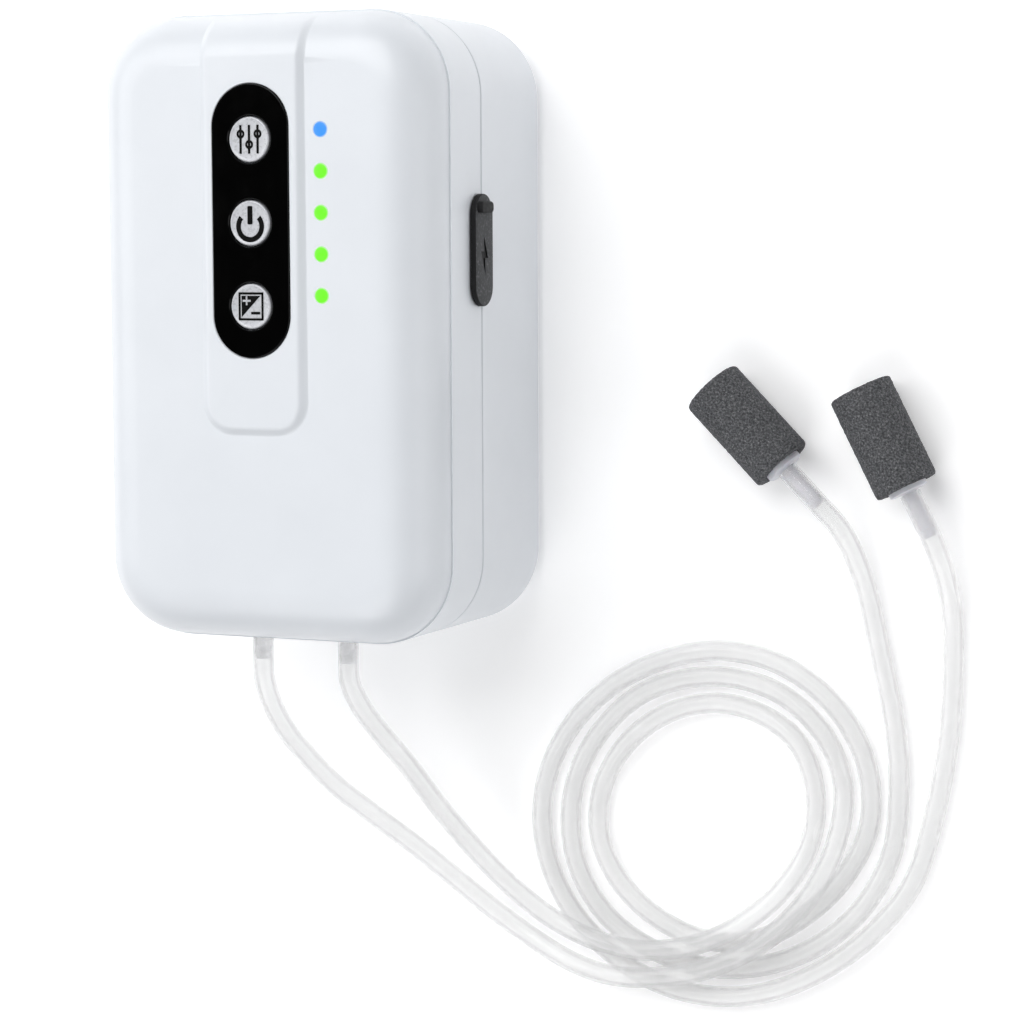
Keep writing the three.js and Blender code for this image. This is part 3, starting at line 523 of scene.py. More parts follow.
panel_low, panel_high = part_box("button_panel")
panel_radius = (panel_high.x - panel_low.x) / 2
bed_floor = face_height + 0.0001
bed = block(
    "bed",
    (panel_low.x - 0.00006, panel_low.y - 0.00006, bed_floor),
    (panel_high.x + 0.00006, panel_high.y + 0.00006, face_height + strip_rise - 0.0003),
    panel_radius + 0.00005,
    segments=24,
)
bpy.ops.object.mode_set(mode="EDIT")
choose(bed, "FACE", facing((0, 0, 1)))
bpy.ops.mesh.extrude_region_move(TRANSFORM_OT_translate={"value": (0, 0, 0.0005)})
panel_middle = (panel_low + panel_high) / 2
bpy.ops.transform.resize(value=(1.042, 1.013, 1), center_override=panel_middle)
bpy.ops.mesh.extrude_region_move(TRANSFORM_OT_translate={"value": (0, 0, 0.002)})
bpy.ops.object.mode_set(mode="OBJECT")

front_tools = [bed]
button_names = ("mode", "power", "level")
button_places = []
for name in button_names:
    low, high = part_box(name + "_button")
    button_places.append(((low.x + high.x) / 2, (low.y + high.y) / 2))
for x, y in button_places:
    front_tools.append(drawn("button_hole", [(5.55, 60), (5.55, 68)], place=(x, y, 0)))
lens_names = ("charge_lens", "level_lens_1", "level_lens_2", "level_lens_3", "level_lens_4")
lens_places = []
for name in lens_names:
    low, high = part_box(name)
    lens_places.append(((low.x + high.x) / 2, (low.y + high.y) / 2))
for x, y in lens_places:
    front_tools.append(drawn("lens_hole", [(1.84, 60), (1.84, 68)], place=(x, y, 0)))
for x, y in screw_places:
    front_tools.append(drawn("screw_hole", [(1.8, 36), (1.8, 48)], place=(x, y, 0), sides=24))
outlet_places = []
for name in ("left_outlet_nozzle", "right_outlet_nozzle"):
    low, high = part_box(name)
    outlet_places.append(((low.x + high.x) / 2, (low.z + high.z) / 2))
for x, z in outlet_places:
    outlet = [(3.1, -2), (3.0, 0), (2.6, 0.5), (2.6, 6)]
    front_tools.append(drawn("outlet", outlet, (0, 1, 0), (x, front_low.y, z)))
combined(front_shell, joined(front_tools), "DIFFERENCE")
combined(front_shell, port_pocket(), "DIFFERENCE")
smooth(front_shell)
applied(front_shell, "WEIGHTED_NORMAL", keep_sharp=True)
front_shell.data.materials.append(case_white)
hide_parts("front_shell")
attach(front_shell, "pump_body")

# ---- Button panel ----
# A round-ended insert of gloss black acrylic, laid into a bed in the strip and glued. Its top
# edge and the edges of its three holes are softly rounded.

panel = block("button_insert", panel_low, panel_high, panel_radius - 0.00001, segments=28)
bpy.ops.object.mode_set(mode="EDIT")
choose(panel, "FACE", facing((0, 0, 1)))
bpy.ops.mesh.region_to_loop()
bpy.ops.mesh.bevel(offset=0.00025, segments=3, affect="EDGES")
bpy.ops.object.mode_set(mode="OBJECT")
panel_top = panel_high.z * 1000
holes = []
for x, y in button_places:
    hole = [(5.4, 60), (5.4, panel_top - 0.2), (5.6, panel_top), (5.6, 70)]
    holes.append(drawn("hole", hole, place=(x, y, 0), sides=64))
combined(panel, joined(holes), "DIFFERENCE")
smooth(panel, 40)
applied(panel, "WEIGHTED_NORMAL", keep_sharp=True)

panel_black = finish_of("gloss_black_acrylic", Specular_IOR_Level=0.2)
depth_tone = pattern(panel_black, "ShaderNodeTexNoise", 120, Detail=2)
shaded(panel_black, depth_tone, "Base Color", [(0.3, 0.0003), (0.7, 0.0008)])
handling = pattern(panel_black, "ShaderNodeTexNoise", 240, stretch=(1, 0.6, 1), Detail=5)
shaded(panel_black, handling, "Roughness", [(0.35, 0.05), (0.75, 0.12)])
panel.data.materials.append(panel_black)
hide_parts("button_panel")
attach(panel, "pump_body")

# ---- Buttons ----
# Three round caps of silver-painted plastic with a polished rim and a plain printed sign.
# A flange under the shell keeps each one in, and its stem reaches down to the switch.

silver = finish_of("silver_paint", Metallic=0.1, Coat_Weight=0.3, Coat_Roughness=0.1)
flake = pattern(silver, "ShaderNodeTexNoise", 1500, Detail=3)
shaded(silver, flake, "Base Color", [(0.3, (0.55, 0.56, 0.59)), (0.7, (0.60, 0.61, 0.64))])
shaded(silver, flake, "Roughness", [(0.3, 0.22), (0.7, 0.38)])
raised(silver, flake, 0.15, 0.00001)
ink = finish_of("black_print", Specular_IOR_Level=0.08)
print_grain = pattern(ink, "ShaderNodeTexNoise", 1800, Detail=2)
shaded(ink, print_grain, "Base Color", [(0.3, 0.001), (0.7, 0.004)])
shaded(ink, print_grain, "Roughness", [(0.3, 0.3), (0.7, 0.45)])
sign_low, sign_high = 0.0675, 0.06763


def bar(x, y, width, height, turn=0.0):
    """A printed bar, its middle and size in mm from the button's middle."""
    piece = block(
        "bar",
        (-width / 2000, -height / 2000, sign_low),
        (width / 2000, height / 2000, sign_high),
        min(width, height) / 4500,
        segments=3,
    )
    piece.rotation_euler = (0, 0, math.radians(turn))
    piece.location = (x / 1000, y / 1000, 0)
    settle(piece)
    return piece


def knob(x, y):
    """A printed ring."""
    bpy.ops.object.select_all(action="DESELECT")
    bpy.ops.mesh.primitive_torus_add(
        major_radius=0.00074,
        minor_radius=0.00028,
        major_segments=32,
        minor_segments=8,
        location=(x / 1000, y / 1000, sign_high - 0.00006),
    )
    piece = bpy.context.active_object
    piece.scale = (1, 1, 0.25)
    settle(piece)
    return piece


def arc(x, y, radius, width, start, sweep):
    """A printed arc: an upright face turned about its middle."""
    bpy.ops.object.select_all(action="DESELECT")
    first = math.radians(start)
    bpy.ops.mesh.primitive_plane_add(
        size=1,
        location=(
            (x + radius * math.cos(first)) / 1000,
            (y + radius * math.sin(first)) / 1000,
            (sign_low + sign_high) / 2,
        ),
        rotation=(math.pi / 2, 0, first),
    )
    piece = bpy.context.active_object
    piece.scale = (width / 1000, sign_high - sign_low, 1)
    settle(piece)
    bpy.ops.object.mode_set(mode="EDIT")
    bpy.ops.mesh.select_all(action="SELECT")
    bpy.ops.mesh.spin(
        steps=40,
        angle=math.radians(sweep),
        center=(x / 1000, y / 1000, 0),
        axis=(0, 0, 1),
    )
    bpy.ops.mesh.select_all(action="SELECT")
    bpy.ops.mesh.normals_make_consistent(inside=False)
    bpy.ops.object.mode_set(mode="OBJECT")
    return piece


def wedge():
    """The filled upper left half of the level sign, with its plus left open."""
    bpy.ops.object.select_all(action="DESELECT")
    bpy.ops.mesh.primitive_plane_add(size=0.00475, location=(0, 0, sign_low))
    piece = bpy.context.active_object
    settle(piece)
    bpy.ops.object.mode_set(mode="EDIT")
    choose(piece, "VERT", lambda v: v.co.x > 0 and v.co.y < 0)
    bpy.ops.mesh.delete(type="VERT")
    bpy.ops.mesh.select_all(action="SELECT")
    bpy.ops.mesh.edge_face_add()
    bpy.ops.mesh.extrude_region_move(
        TRANSFORM_OT_translate={"value": (0, 0, sign_high - sign_low)}
    )
    bpy.ops.mesh.select_all(action="SELECT")
    bpy.ops.mesh.normals_make_consistent(inside=False)
    bpy.ops.object.mode_set(mode="OBJECT")
    across = block("across", (-0.00215, 0.00102, 0.067), (-0.00005, 0.00148, 0.069))
    upright = block("upright", (-0.00135, 0.00025, 0.067), (-0.00089, 0.00235, 0.069))
    combined(piece, joined([across, upright]), "DIFFERENCE")
    return piece


def mode_sign():
    """Three sliders."""
    pieces = []
    for x, y in ((-2.15, 1.2), (0, -1.15), (2.15, 1.2)):
        pieces.append(bar(x, 0, 0.56, 6.4))
        pieces.append(knob(x, y))
    return pieces


def power_sign():
    """A bar in an open ring."""
    return [bar(0, 1.75, 1.25, 4.1), arc(0, -0.75, 2.95, 1.15, 138, -264)]


def level_sign():
    """A square split into plus and minus."""
    frame_bars = [bar(0, 2.9, 6.3, 0.5), bar(0, -2.9, 6.3, 0.5)]
    frame_bars += [bar(2.9, 0, 0.5, 6.3), bar(-2.9, 0, 0.5, 6.3)]
    return [*frame_bars, wedge(), bar(1.15, -1.5, 2.3, 0.6)]


signs = {"mode": mode_sign, "power": power_sign, "level": level_sign}
cap_profile = [
    (1.6, 59.9), (1.6, 61.9), (6.4, 61.9), (6.6, 62.1), (6.6, 62.9), (6.4, 63.1),
    (5.05, 63.1), (5.05, 67.3), (5.0, 67.5), (4.88, 67.64), (4.72, 67.7), (4.58, 67.68),
    (4.45, 67.58), (4.3, 67.56), (3, 67.555), (1, 67.55), (0.2, 67.55),
]
for name, (x, y) in zip(button_names, button_places):
    cap = drawn(name + "_cap", cap_profile, sides=72)
    cap.data.materials.append(silver)
    smooth(cap, 35)
    sign = joined(signs[name]())
    sign.data.materials.clear()
    sign.data.materials.append(ink)
    cap = joined([cap, sign])
    cap.location = (x, y, 0)
    settle(cap)
    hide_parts(name + "_button")
    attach(cap, name + "_key")

# ---- Indicator lamps ----
# Five light guides of clear tinted acrylic pressed into the shell from behind, each over a
# lamp on the board: blue for charging, four green for the level. Their ends are domed.


def lamp_finish(name, colour, edge_colour):
    """Lit acrylic: brightest in the middle, paler at the rim."""
    material = finish_of(name, Roughness=0.2, Specular_IOR_Level=0.2, Emission_Strength=1.0)
    nodes, links = material.node_tree.nodes, material.node_tree.links
    spread = nodes.new("ShaderNodeAttribute")
    spread.attribute_name = "from_middle"
    glow = [(0.0, colour), (0.82, colour), (1.0, edge_colour)]
    shaded(material, spread, "Emission Color", glow, output=2)
    veil = pattern(material, "ShaderNodeTexNoise", 900, Detail=2)
    shaded(material, veil, "Base Color", [(0.3, 0.01), (0.7, 0.03)])
    return material


blue_lamp = lamp_finish("blue_lamp", (0.05, 0.33, 1.0), (0.50, 0.64, 0.85))
green_lamp = lamp_finish("green_lamp", (0.19, 1.0, 0.025), (0.60, 0.85, 0.50))
lens_radius = 1.8
lens_profile = [
    (lens_radius, 55.3), (lens_radius, 65.92), (1.7, 66.04), (1.43, 66.1),
    (1.03, 66.13), (0.57, 66.145), (0.1, 66.15),
]
for name, (x, y) in zip(lens_names, lens_places):
    lens = drawn(name + "_guide", lens_profile, place=(x, y, 0))
    smooth(lens, 60)
    reach = lens.data.attributes.new("from_middle", "FLOAT", "POINT")
    for vertex in lens.data.vertices:
        away = math.hypot(vertex.co.x - x, vertex.co.y - y)
        reach.data[vertex.index].value = away * 1000 / lens_radius
    lens.data.materials.append(blue_lamp if name == "charge_lens" else green_lamp)
    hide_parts(name)
    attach(lens, "pump_body")

# ---- Charging cover ----
# One piece of grey rubber: a round-ended flap with a plug behind it that presses into the
# pocket, a finger tab at its top end and a lightning bolt sunk into its face.

cover_low, cover_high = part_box("port_cover")
flap_face = rear_high.x + 0.0016
cover_y = (cover_low.y + cover_high.y) / 2
cover_z = (cover_low.z + cover_high.z) / 2
cover_half = (cover_high.z - cover_low.z) / 2
cover = block(
    "charging_flap",
    (rear_high.x + 0.0003, cover_low.y, cover_low.z),
    (flap_face, cover_high.y, cover_high.z),
    cover_half - 0.0001,
    axis=0,
    segments=16,
)
bpy.ops.object.mode_set(mode="EDIT")
choose(cover, "FACE", facing((1, 0, 0)))
bpy.ops.mesh.region_to_loop()
bpy.ops.mesh.bevel(offset=0.0003, segments=3, affect="EDGES")
choose(cover, "FACE", facing((-1, 0, 0)))
bpy.ops.mesh.inset(thickness=0.0021, depth=0)
bpy.ops.mesh.extrude_region_move(TRANSFORM_OT_translate={"value": (-0.0014, 0, 0)})
bpy.ops.mesh.extrude_region_move(TRANSFORM_OT_translate={"value": (-0.0003, 0, 0)})
bpy.ops.transform.resize(value=(1, 0.96, 0.86))
bpy.ops.object.mode_set(mode="OBJECT")
tab = block(
    "tab",
    (flap_face - 0.0004, cover_y + 0.0084, cover_z - cover_half + 0.0022),
    (cover_high.x, cover_y + 0.011, cover_z + cover_half - 0.0008),
    0.001,
    axis=0,
    segments=5,
)
bpy.ops.object.mode_set(mode="EDIT")
choose(tab, "FACE", facing((1, 0, 0)))
bpy.ops.mesh.region_to_loop()
bpy.ops.mesh.bevel(offset=0.0004, segments=3, affect="EDGES")
bpy.ops.object.mode_set(mode="OBJECT")
combined(cover, tab, "UNION")

bolt_corners = [(0.3, 4.6), (-1.9, -0.6), (-0.3, -0.6), (-0.5, -4.6), (1.9, 0.9), (0.25, 0.9)]
bpy.ops.object.select_all(action="DESELECT")
bpy.ops.mesh.primitive_circle_add(vertices=6, radius=0.004, fill_type="NGON")
bolt = bpy.context.active_object
for vertex, (across, along) in zip(bolt.data.vertices, bolt_corners):
    vertex.co = (flap_face - 0.0003, cover_y - 0.0012 + along / 1000, cover_z + across / 1000)
bpy.ops.object.mode_set(mode="EDIT")
bpy.ops.mesh.select_all(action="SELECT")
bpy.ops.mesh.extrude_region_move(TRANSFORM_OT_translate={"value": (0.001, 0, 0)})
bpy.ops.mesh.select_all(action="SELECT")
bpy.ops.mesh.normals_make_consistent(inside=False)
bpy.ops.object.mode_set(mode="OBJECT")
combined(cover, bolt, "DIFFERENCE")
smooth(cover, 40)

flap_rubber = finish_of("grey_rubber", Specular_IOR_Level=0.35)
speckle = pattern(flap_rubber, "ShaderNodeTexNoise", 1500, Detail=4)
shaded(
    flap_rubber,
    speckle,
    "Base Color",
    [(0.32, (0.040, 0.041, 0.044)), (0.55, (0.060, 0.062, 0.066)), (0.72, (0.13, 0.132, 0.138))],
)
shaded(flap_rubber, speckle, "Roughness", [(0.3, 0.6), (0.7, 0.8)])
raised(flap_rubber, speckle, 0.5, 0.00005)
# Painted shade: the flap's rim, its tab and its plug get a near-black copy of the same grey rubber,
# standing in for the shade on its side walls.
flap_painted_shade = finish_of("dark_rubber", Specular_IOR_Level=0.3)
painted_shade_speckle = pattern(flap_painted_shade, "ShaderNodeTexNoise", 1500, Detail=4)
shaded(
    flap_painted_shade,
    painted_shade_speckle,
    "Base Color",
    [(0.3, (0.004, 0.004, 0.005)), (0.7, (0.011, 0.011, 0.012))],
)
shaded(flap_painted_shade, painted_shade_speckle, "Roughness", [(0.3, 0.55), (0.7, 0.75)])
raised(flap_painted_shade, painted_shade_speckle, 0.4, 0.00004)
cover.data.materials.clear()
cover.data.materials.append(flap_rubber)
cover.data.materials.append(flap_painted_shade)
# Only the flap's face keeps the lit grey rubber; every other face takes the near-black
# painted-shade copy.
for face in cover.data.polygons:
    on_face = face.normal.x > 0.9 and abs(face.center.x - flap_face) < 0.0002
    face.material_index = 0 if on_face else 1
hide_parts("port_cover")
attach(cover, "port_cover")

# ---- Screws and feet ----
# Four cross-head screws pull the shells together from the back. Four rubber feet are glued
# into shallow recesses beside them.

screw_low, screw_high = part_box("case_screw_1")
head = screw_low.z * 1000
thread = [(1.4, head + 2.7)]
turn_height = head + 3.2
while turn_height < screw_high.z * 1000 - 2:
    thread += [(1.05, turn_height), (1.4, turn_height + 0.45)]
    turn_height += 0.9
screw_profile = [
    (2.2, head), (2.6, head + 0.12), (2.85, head + 0.45), (2.9, head + 0.8), (2.9, head + 2.7),
    *thread, (1.0, screw_high.z * 1000 - 1), (0.3, screw_high.z * 1000),
]
screw_names = ("case_screw_1", "case_screw_2", "case_screw_3", "case_screw_4")
for name in screw_names:
    low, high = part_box(name)
    x, y = (low.x + high.x) / 2, (low.y + high.y) / 2
    screw = drawn(name.replace("case", "closing"), screw_profile, place=(x, y, 0), sides=28)
    first = block("slot", (x - 0.0017, y - 0.0004, 0), (x + 0.0017, y + 0.0004, low.z + 0.0013))
    second = block("slot", (x - 0.0004, y - 0.0017, 0), (x + 0.0004, y + 0.0017, low.z + 0.0013))
    combined(screw, joined([first, second]), "DIFFERENCE")
    smooth(screw, 35)
    screw.data.materials.append(steel)
    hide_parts(name)
    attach(screw, "pump_body")

foot_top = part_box("rubber_foot_1")[1].z * 1000
foot_profile = [
    (0.6, 0.15), (2.6, 0.12), (3.2, 0), (4.3, 0),
    (4.75, 0.12), (4.95, 0.4), (5, 0.7), (5, foot_top),
]
for i in range(1, 5):
    low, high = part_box(f"rubber_foot_{i}")
    x, y = (low.x + high.x) / 2, (low.y + high.y) / 2
    foot_piece = drawn(f"foot_pad_{i}", foot_profile, place=(x, y, 0), sides=48)
    smooth(foot_piece, 35)
    foot_piece.data.materials.append(engine_rubber)
    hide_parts(f"rubber_foot_{i}")
    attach(foot_piece, "pump_body")

# ---- Outlet nozzles ----
# Moulded in clear nylon and snapped through the end wall from inside. Each ends in a barb
# that its air hose is pushed over, and a collar that the hose stops against.

clear_nylon = finish_of("clear_nylon", IOR=1.45, Transmission_Weight=0.5, Alpha=0.4)
clouding = pattern(clear_nylon, "ShaderNodeTexNoise", 400, Detail=3)
shaded(clear_nylon, clouding, "Base Color", [(0.3, (0.88, 0.88, 0.90)), (0.7, (0.94, 0.94, 0.95))])
shaded(clear_nylon, clouding, "Roughness", [(0.3, 0.2), (0.7, 0.35)])
for name in ("left_outlet_nozzle", "right_outlet_nozzle"):
    low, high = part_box(name)
    long = (high.y - low.y) * 1000
    x, z = (low.x + high.x) / 2, (low.z + high.z) / 2
    nozzle_profile = [
        (0.9, 2.5), (0.9, 0), (1.5, 0), (1.62, 0.2), (2.05, 1.8), (1.7, 1.95), (1.7, 5.5),
        (2.4, 5.6), (2.4, 9.2), (3.8, 9.2), (3.8, 10.8), (1.8, 10.8), (1.8, long),
    ]
    barbed_name = name.replace("outlet", "barbed")
    nozzle = drawn(barbed_name, nozzle_profile, (0, 1, 0), (x, low.y, z), sides=32)
    smooth(nozzle, 35)
    nozzle.data.materials.append(clear_nylon)
    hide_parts(name)
    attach(nozzle, "pump_body")

# ---- Air stones and their stems ----
# Each stone is a cylinder of fused mineral grains, sintered in a mould. A pale plastic stem
# with a round flange is glued into one end, and its barb carries the hose.

right_end = Vector((0.1391, -0.0441, 0.0075))
left_end = Vector((0.1127, -0.0376, 0.0075))
right_heading = Vector((-0.456, 0.89, 0)).normalized()
left_heading = Vector((-0.7, 0.714, 0)).normalized()

stem_profile = [
    (0.8, 2.5), (0.8, 0.3), (1.25, 0.3), (1.4, 0.5), (1.9, 2.3), (1.6, 2.5), (1.6, 10.9),
    (1.8, 11.25), (2.2, 11.45), (4.1, 11.55), (4.45, 11.7), (4.6, 12.0), (4.6, 12.95),
]
stone_start, stone_long, stone_radius = 12.6, 25, 7.5
stone_profile = [(radius, stone_start + 0.4) for radius in (0.3, 1.5, 3, 4.2, 4.75)]
stone_profile += [(4.8, stone_start + 0.15), (5.0, stone_start)]
stone_profile += [(radius, stone_start) for radius in (5.4, 5.8, 6.2, 6.7)]
stone_profile += [(7.05, stone_start + 0.1), (7.3, stone_start + 0.32), (7.45, stone_start + 0.65)]
stone_profile += [(stone_radius, stone_start + 1 + step * 0.4) for step in range(58)]
stone_profile += [
    (7.45, stone_start + 24.35), (7.3, stone_start + 24.68), (7.05, stone_start + 24.9),
]
stone_profile += [
    (radius, stone_start + stone_long)
    for radius in (6.7, 6.2, 5.6, 5, 4.4, 3.8, 3.2, 2.6, 2, 1.4, 0.8, 0.3)
]

stone_grey = finish_of("sintered_stone", Specular_IOR_Level=0.3)
grains = pattern(stone_grey, "ShaderNodeTexNoise", 2100, Detail=5, Roughness=0.7)
shaded(
    stone_grey,
    grains,
    "Base Color",
    [
        (0.34, (0.030, 0.031, 0.034)),
        (0.5, (0.085, 0.087, 0.092)),
        (0.62, (0.16, 0.162, 0.17)),
        (0.74, (0.45, 0.45, 0.46)),
    ],
)
shaded(stone_grey, grains, "Roughness", [(0.3, 0.95), (0.7, 0.7)])
raised(stone_grey, pattern(stone_grey, "ShaderNodeTexVoronoi", 2400), 0.8, 0.0002)
grain_bumps = bpy.data.textures.new("grain_bumps", "CLOUDS")
grain_bumps.noise_scale = 0.0006
grain_bumps.noise_depth = 3

for side, end, heading in (("left", left_end, left_heading), ("right", right_end, right_heading)):
    stem = drawn(side + "_stem", stem_profile, heading, end, sides=48)
    smooth(stem, 35)
    stem.data.materials.append(pale_plastic)
    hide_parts(side + "_stone_stem")
    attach(stem, "pump_body")
    stone = drawn(side + "_stone", stone_profile, heading, end, sides=120)
    applied(
        stone,
        "DISPLACE",
        texture=grain_bumps,
        texture_coords="LOCAL",
        mid_level=1.0,
        strength=0.0003,
    )
    smooth(stone, 60)
    stone.data.materials.append(stone_grey)
    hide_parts(side + "_air_stone")
    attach(stone, "pump_body")

# ---- Air hoses ----
# Clear silicone tube, 5 mm outside. Each is pushed over a nozzle's barb, drops to the table,
# runs round in loose open loops and is pushed over the stem of its stone.

right_route = [
    (0.00975, -0.0752, 0.043), (0.0099, -0.079, 0.0428), (0.0116, -0.085, 0.0406),
    (0.0148, -0.092, 0.0363), (0.0188, -0.1, 0.0306), (0.023, -0.111, 0.0225),
    (0.0285, -0.1215, 0.0155), (0.0365, -0.1315, 0.0106), (0.046, -0.139, 0.0083),
    (0.057, -0.1435, 0.0079), (0.069, -0.145, 0.0079), (0.081, -0.143, 0.0079),
    (0.092, -0.138, 0.0074), (0.102, -0.1295, 0.0046), (0.1085, -0.119, 0.0026),
    (0.1105, -0.106, 0.0026), (0.106, -0.0935, 0.0026), (0.096, -0.087, 0.0026),
    (0.085, -0.0855, 0.0026), (0.073, -0.089, 0.0026), (0.063, -0.097, 0.0026),
    (0.057, -0.108, 0.0026), (0.0565, -0.12, 0.0026), (0.0615, -0.13, 0.0026),
    (0.071, -0.138, 0.0026), (0.083, -0.1423, 0.0026), (0.096, -0.1412, 0.0026),
    (0.1075, -0.1348, 0.0026), (0.1172, -0.125, 0.0026), (0.1235, -0.112, 0.0026),
    (0.1225, -0.097, 0.0026), (0.115, -0.0845, 0.0026), (0.103, -0.076, 0.0026),
    (0.089, -0.073, 0.0026), (0.074, -0.0755, 0.0026), (0.06, -0.0825, 0.0026),
    (0.0485, -0.094, 0.0026), (0.0422, -0.108, 0.0026), (0.042, -0.122, 0.0026),
    (0.047, -0.135, 0.0026), (0.057, -0.146, 0.0026), (0.07, -0.1534, 0.0026),
    (0.084, -0.1558, 0.0026), (0.098, -0.1538, 0.0026), (0.112, -0.1472, 0.0026),
    (0.1245, -0.1372, 0.0026), (0.134, -0.1245, 0.0026), (0.139, -0.108, 0.0026),
    (0.142, -0.091, 0.0026), (0.143, -0.074, 0.0026), (0.1428, -0.06, 0.0038),
    (0.1414, -0.0505, 0.0068), (0.1391, -0.0441, 0.0075),
]
left_route = [
    (-0.01265, -0.0752, 0.043), (-0.0126, -0.079, 0.0428), (-0.012, -0.085, 0.0408),
    (-0.0106, -0.092, 0.0366), (-0.008, -0.099, 0.0312), (-0.0035, -0.1075, 0.0242),
    (0.003, -0.115, 0.0178), (0.0105, -0.1225, 0.012), (0.019, -0.1305, 0.0076),
    (0.0285, -0.1385, 0.0048), (0.039, -0.1455, 0.0036), (0.05, -0.15, 0.0054),
    (0.061, -0.1518, 0.0077), (0.072, -0.1513, 0.0079), (0.084, -0.1486, 0.0079),
    (0.095, -0.1433, 0.0079), (0.1045, -0.136, 0.0079), (0.112, -0.1265, 0.007),
    (0.1165, -0.115, 0.0046), (0.1172, -0.103, 0.0026), (0.1125, -0.0915, 0.0026),
    (0.103, -0.083, 0.0026), (0.091, -0.0793, 0.0026), (0.079, -0.08, 0.0026),
    (0.067, -0.0845, 0.0026), (0.0575, -0.093, 0.0026), (0.051, -0.104, 0.0026),
    (0.0488, -0.116, 0.0026), (0.051, -0.128, 0.0026), (0.058, -0.1385, 0.0026),
    (0.069, -0.1455, 0.0026), (0.082, -0.1488, 0.0026), (0.096, -0.1477, 0.0026),
    (0.11, -0.142, 0.0026), (0.1215, -0.132, 0.0026), (0.1288, -0.1185, 0.0026),
    (0.1305, -0.104, 0.0026), (0.1295, -0.089, 0.0026), (0.126, -0.072, 0.0026),
    (0.122, -0.0545, 0.0038), (0.1179, -0.0435, 0.0069), (0.1127, -0.0376, 0.0075),
]


def smooth_line(points, steps=9):
    """Points along one smooth curve through the given ones, spaced by its own spans."""
    ends = [points[0] * 2 - points[1], *points, points[-1] * 2 - points[-2]]
    line = []
    for a, b, c, d in zip(ends, ends[1:], ends[2:], ends[3:]):
        t0 = 0.0
        t1 = t0 + (b - a).length ** 0.5
        t2 = t1 + (c - b).length ** 0.5
        t3 = t2 + (d - c).length ** 0.5
        for step in range(steps):
            t = t1 + (t2 - t1) * step / steps
            p1 = a * (t1 - t) / (t1 - t0) + b * (t - t0) / (t1 - t0)
            p2 = b * (t2 - t) / (t2 - t1) + c * (t - t1) / (t2 - t1)
            p3 = c * (t3 - t) / (t3 - t2) + d * (t - t2) / (t3 - t2)
            q1 = p1 * (t2 - t) / (t2 - t0) + p2 * (t - t0) / (t2 - t0)
            q2 = p2 * (t3 - t) / (t3 - t1) + p3 * (t - t1) / (t3 - t1)
            line.append(q1 * (t2 - t) / (t2 - t1) + q2 * (t - t1) / (t2 - t1))
    line.append(points[-1])
    return line


hose_radius = 0.0025
hose_wall = 0.0004
collar_y = -0.0692
hoses = (
    ("left", left_route, left_end, left_heading),
    ("right", right_route, right_end, right_heading),
)
for side, route, end, heading in hoses:
    start = Vector(route[0])
    over_barb = [Vector((start.x, y, start.z)) for y in (collar_y, -0.0722)]
    over_stem = [end + heading * reach for reach in (0.0037, 0.0075, 0.0112)]
    line = smooth_line([*over_barb, *map(Vector, route), *over_stem])
    curve = bpy.data.curves.new(side + "_hose", "CURVE")
    curve.dimensions = "3D"
    curve.bevel_depth = hose_radius
    curve.bevel_resolution = 10
    spline = curve.splines.new("POLY")
    spline.points.add(len(line) - 1)
    for point, place in zip(spline.points, line):
        point.co = (*place, 1)
    hose = bpy.data.objects.new(side + "_hose", curve)
    bpy.context.scene.collection.objects.link(hose)
    alone(hose)
    bpy.ops.object.convert(target="MESH")
    hose = bpy.context.active_object
    applied(hose, "SOLIDIFY", thickness=hose_wall, offset=-1)
    smooth(hose, 50)
    hose.data.materials.clear()
    hose.data.materials.append(silicone)
    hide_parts(side + "_air_hose")
    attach(hose, "pump_body")

# ---- Table, lights and camera ----
# A pale seamless table, four broad soft lights, the weakest on the right, and a camera that
# looks down at the pump from its right-hand side.

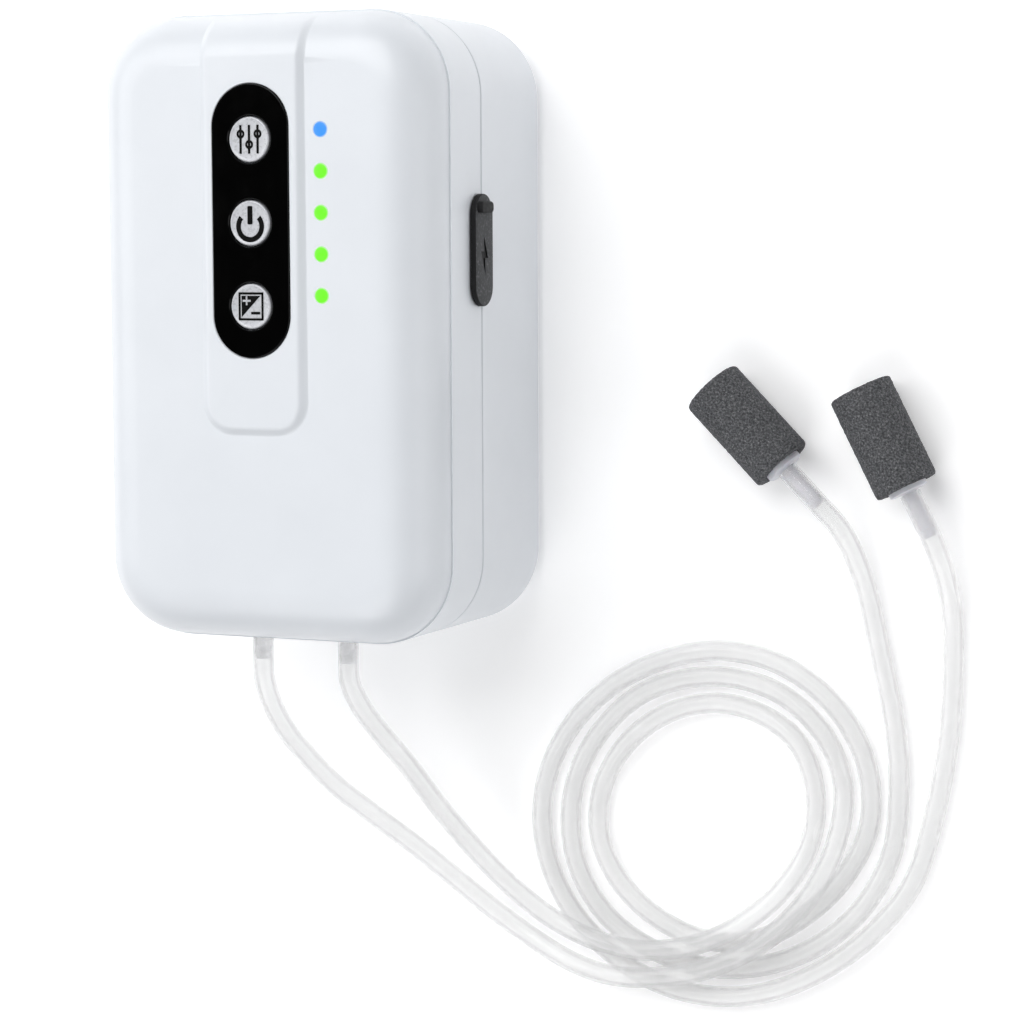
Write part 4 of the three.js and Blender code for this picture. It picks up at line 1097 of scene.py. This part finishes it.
bpy.ops.object.select_all(action="DESELECT")
bpy.ops.mesh.primitive_plane_add(size=6, location=(0.05, -0.05, 0))
table = bpy.context.active_object
table.name = "table"
paper = finish_of("white_paper", Roughness=0.85, Specular_IOR_Level=0.2)
tooth = pattern(paper, "ShaderNodeTexNoise", 30, Detail=3)
shaded(paper, tooth, "Base Color", [(0.3, (0.93, 0.93, 0.935)), (0.7, (0.95, 0.95, 0.955))])
shaded(paper, tooth, "Emission Color", [(0.3, 0.97), (0.7, 1.0)])
paper.node_tree.nodes["Principled BSDF"].inputs["Emission Strength"].default_value = 0.25
table.data.materials.append(paper)


def soft_light(name, place, target, size, power):
    """A square soft light turned towards a point."""
    light = bpy.data.lights.new(name, "AREA")
    light.shape = "SQUARE"
    light.size = size
    light.energy = power
    lamp = bpy.data.objects.new(name, light)
    bpy.context.scene.collection.objects.link(lamp)
    lamp.location = place
    lamp.rotation_euler = (Vector(target) - Vector(place)).to_track_quat("-Z", "Y").to_euler()


soft_light("left_softbox", (-1.0, 0.3, 0.9), (0, 0, 0.04), 0.9, 5.5)
soft_light("far_softbox", (-0.15, 0.8, 1.15), (0.03, 0, 0.03), 1.1, 13)
soft_light("near_softbox", (-0.15, -0.95, 1.1), (0.03, -0.03, 0.03), 1.0, 7.5)
soft_light("right_softbox", (1.25, -0.2, 0.4), (0.03, 0, 0.04), 0.8, 2.6)

world = bpy.data.worlds.new("studio")
world.use_nodes = True
bpy.context.scene.world = world
backdrop = world.node_tree.nodes["Background"]
sky = world.node_tree.nodes.new("ShaderNodeTexCoord")
split = world.node_tree.nodes.new("ShaderNodeSeparateXYZ")
fade = world.node_tree.nodes.new("ShaderNodeValToRGB")
fade.color_ramp.elements[0].position = 0.3
fade.color_ramp.elements[0].color = (0.9, 0.91, 0.93, 1)
fade.color_ramp.elements[1].position = 0.85
fade.color_ramp.elements[1].color = (0.16, 0.16, 0.165, 1)
world.node_tree.links.new(sky.outputs["Generated"], split.inputs["Vector"])
world.node_tree.links.new(split.outputs["Z"], fade.inputs["Fac"])
world.node_tree.links.new(fade.outputs["Color"], backdrop.inputs["Color"])
backdrop.inputs["Strength"].default_value = 0.3

camera = bpy.data.cameras.new("camera")
camera.sensor_width = 36
camera.lens = 106.03
viewer = bpy.data.objects.new("camera", camera)
bpy.context.scene.collection.objects.link(viewer)
viewer.location = (0.3233739, 0.02465764, 0.66502686)
viewer.rotation_euler = [math.radians(turn) for turn in (-5.38367, 23.59121, -0.27284)]
bpy.context.scene.camera = viewer
bpy.context.scene.view_settings.view_transform = "Standard"
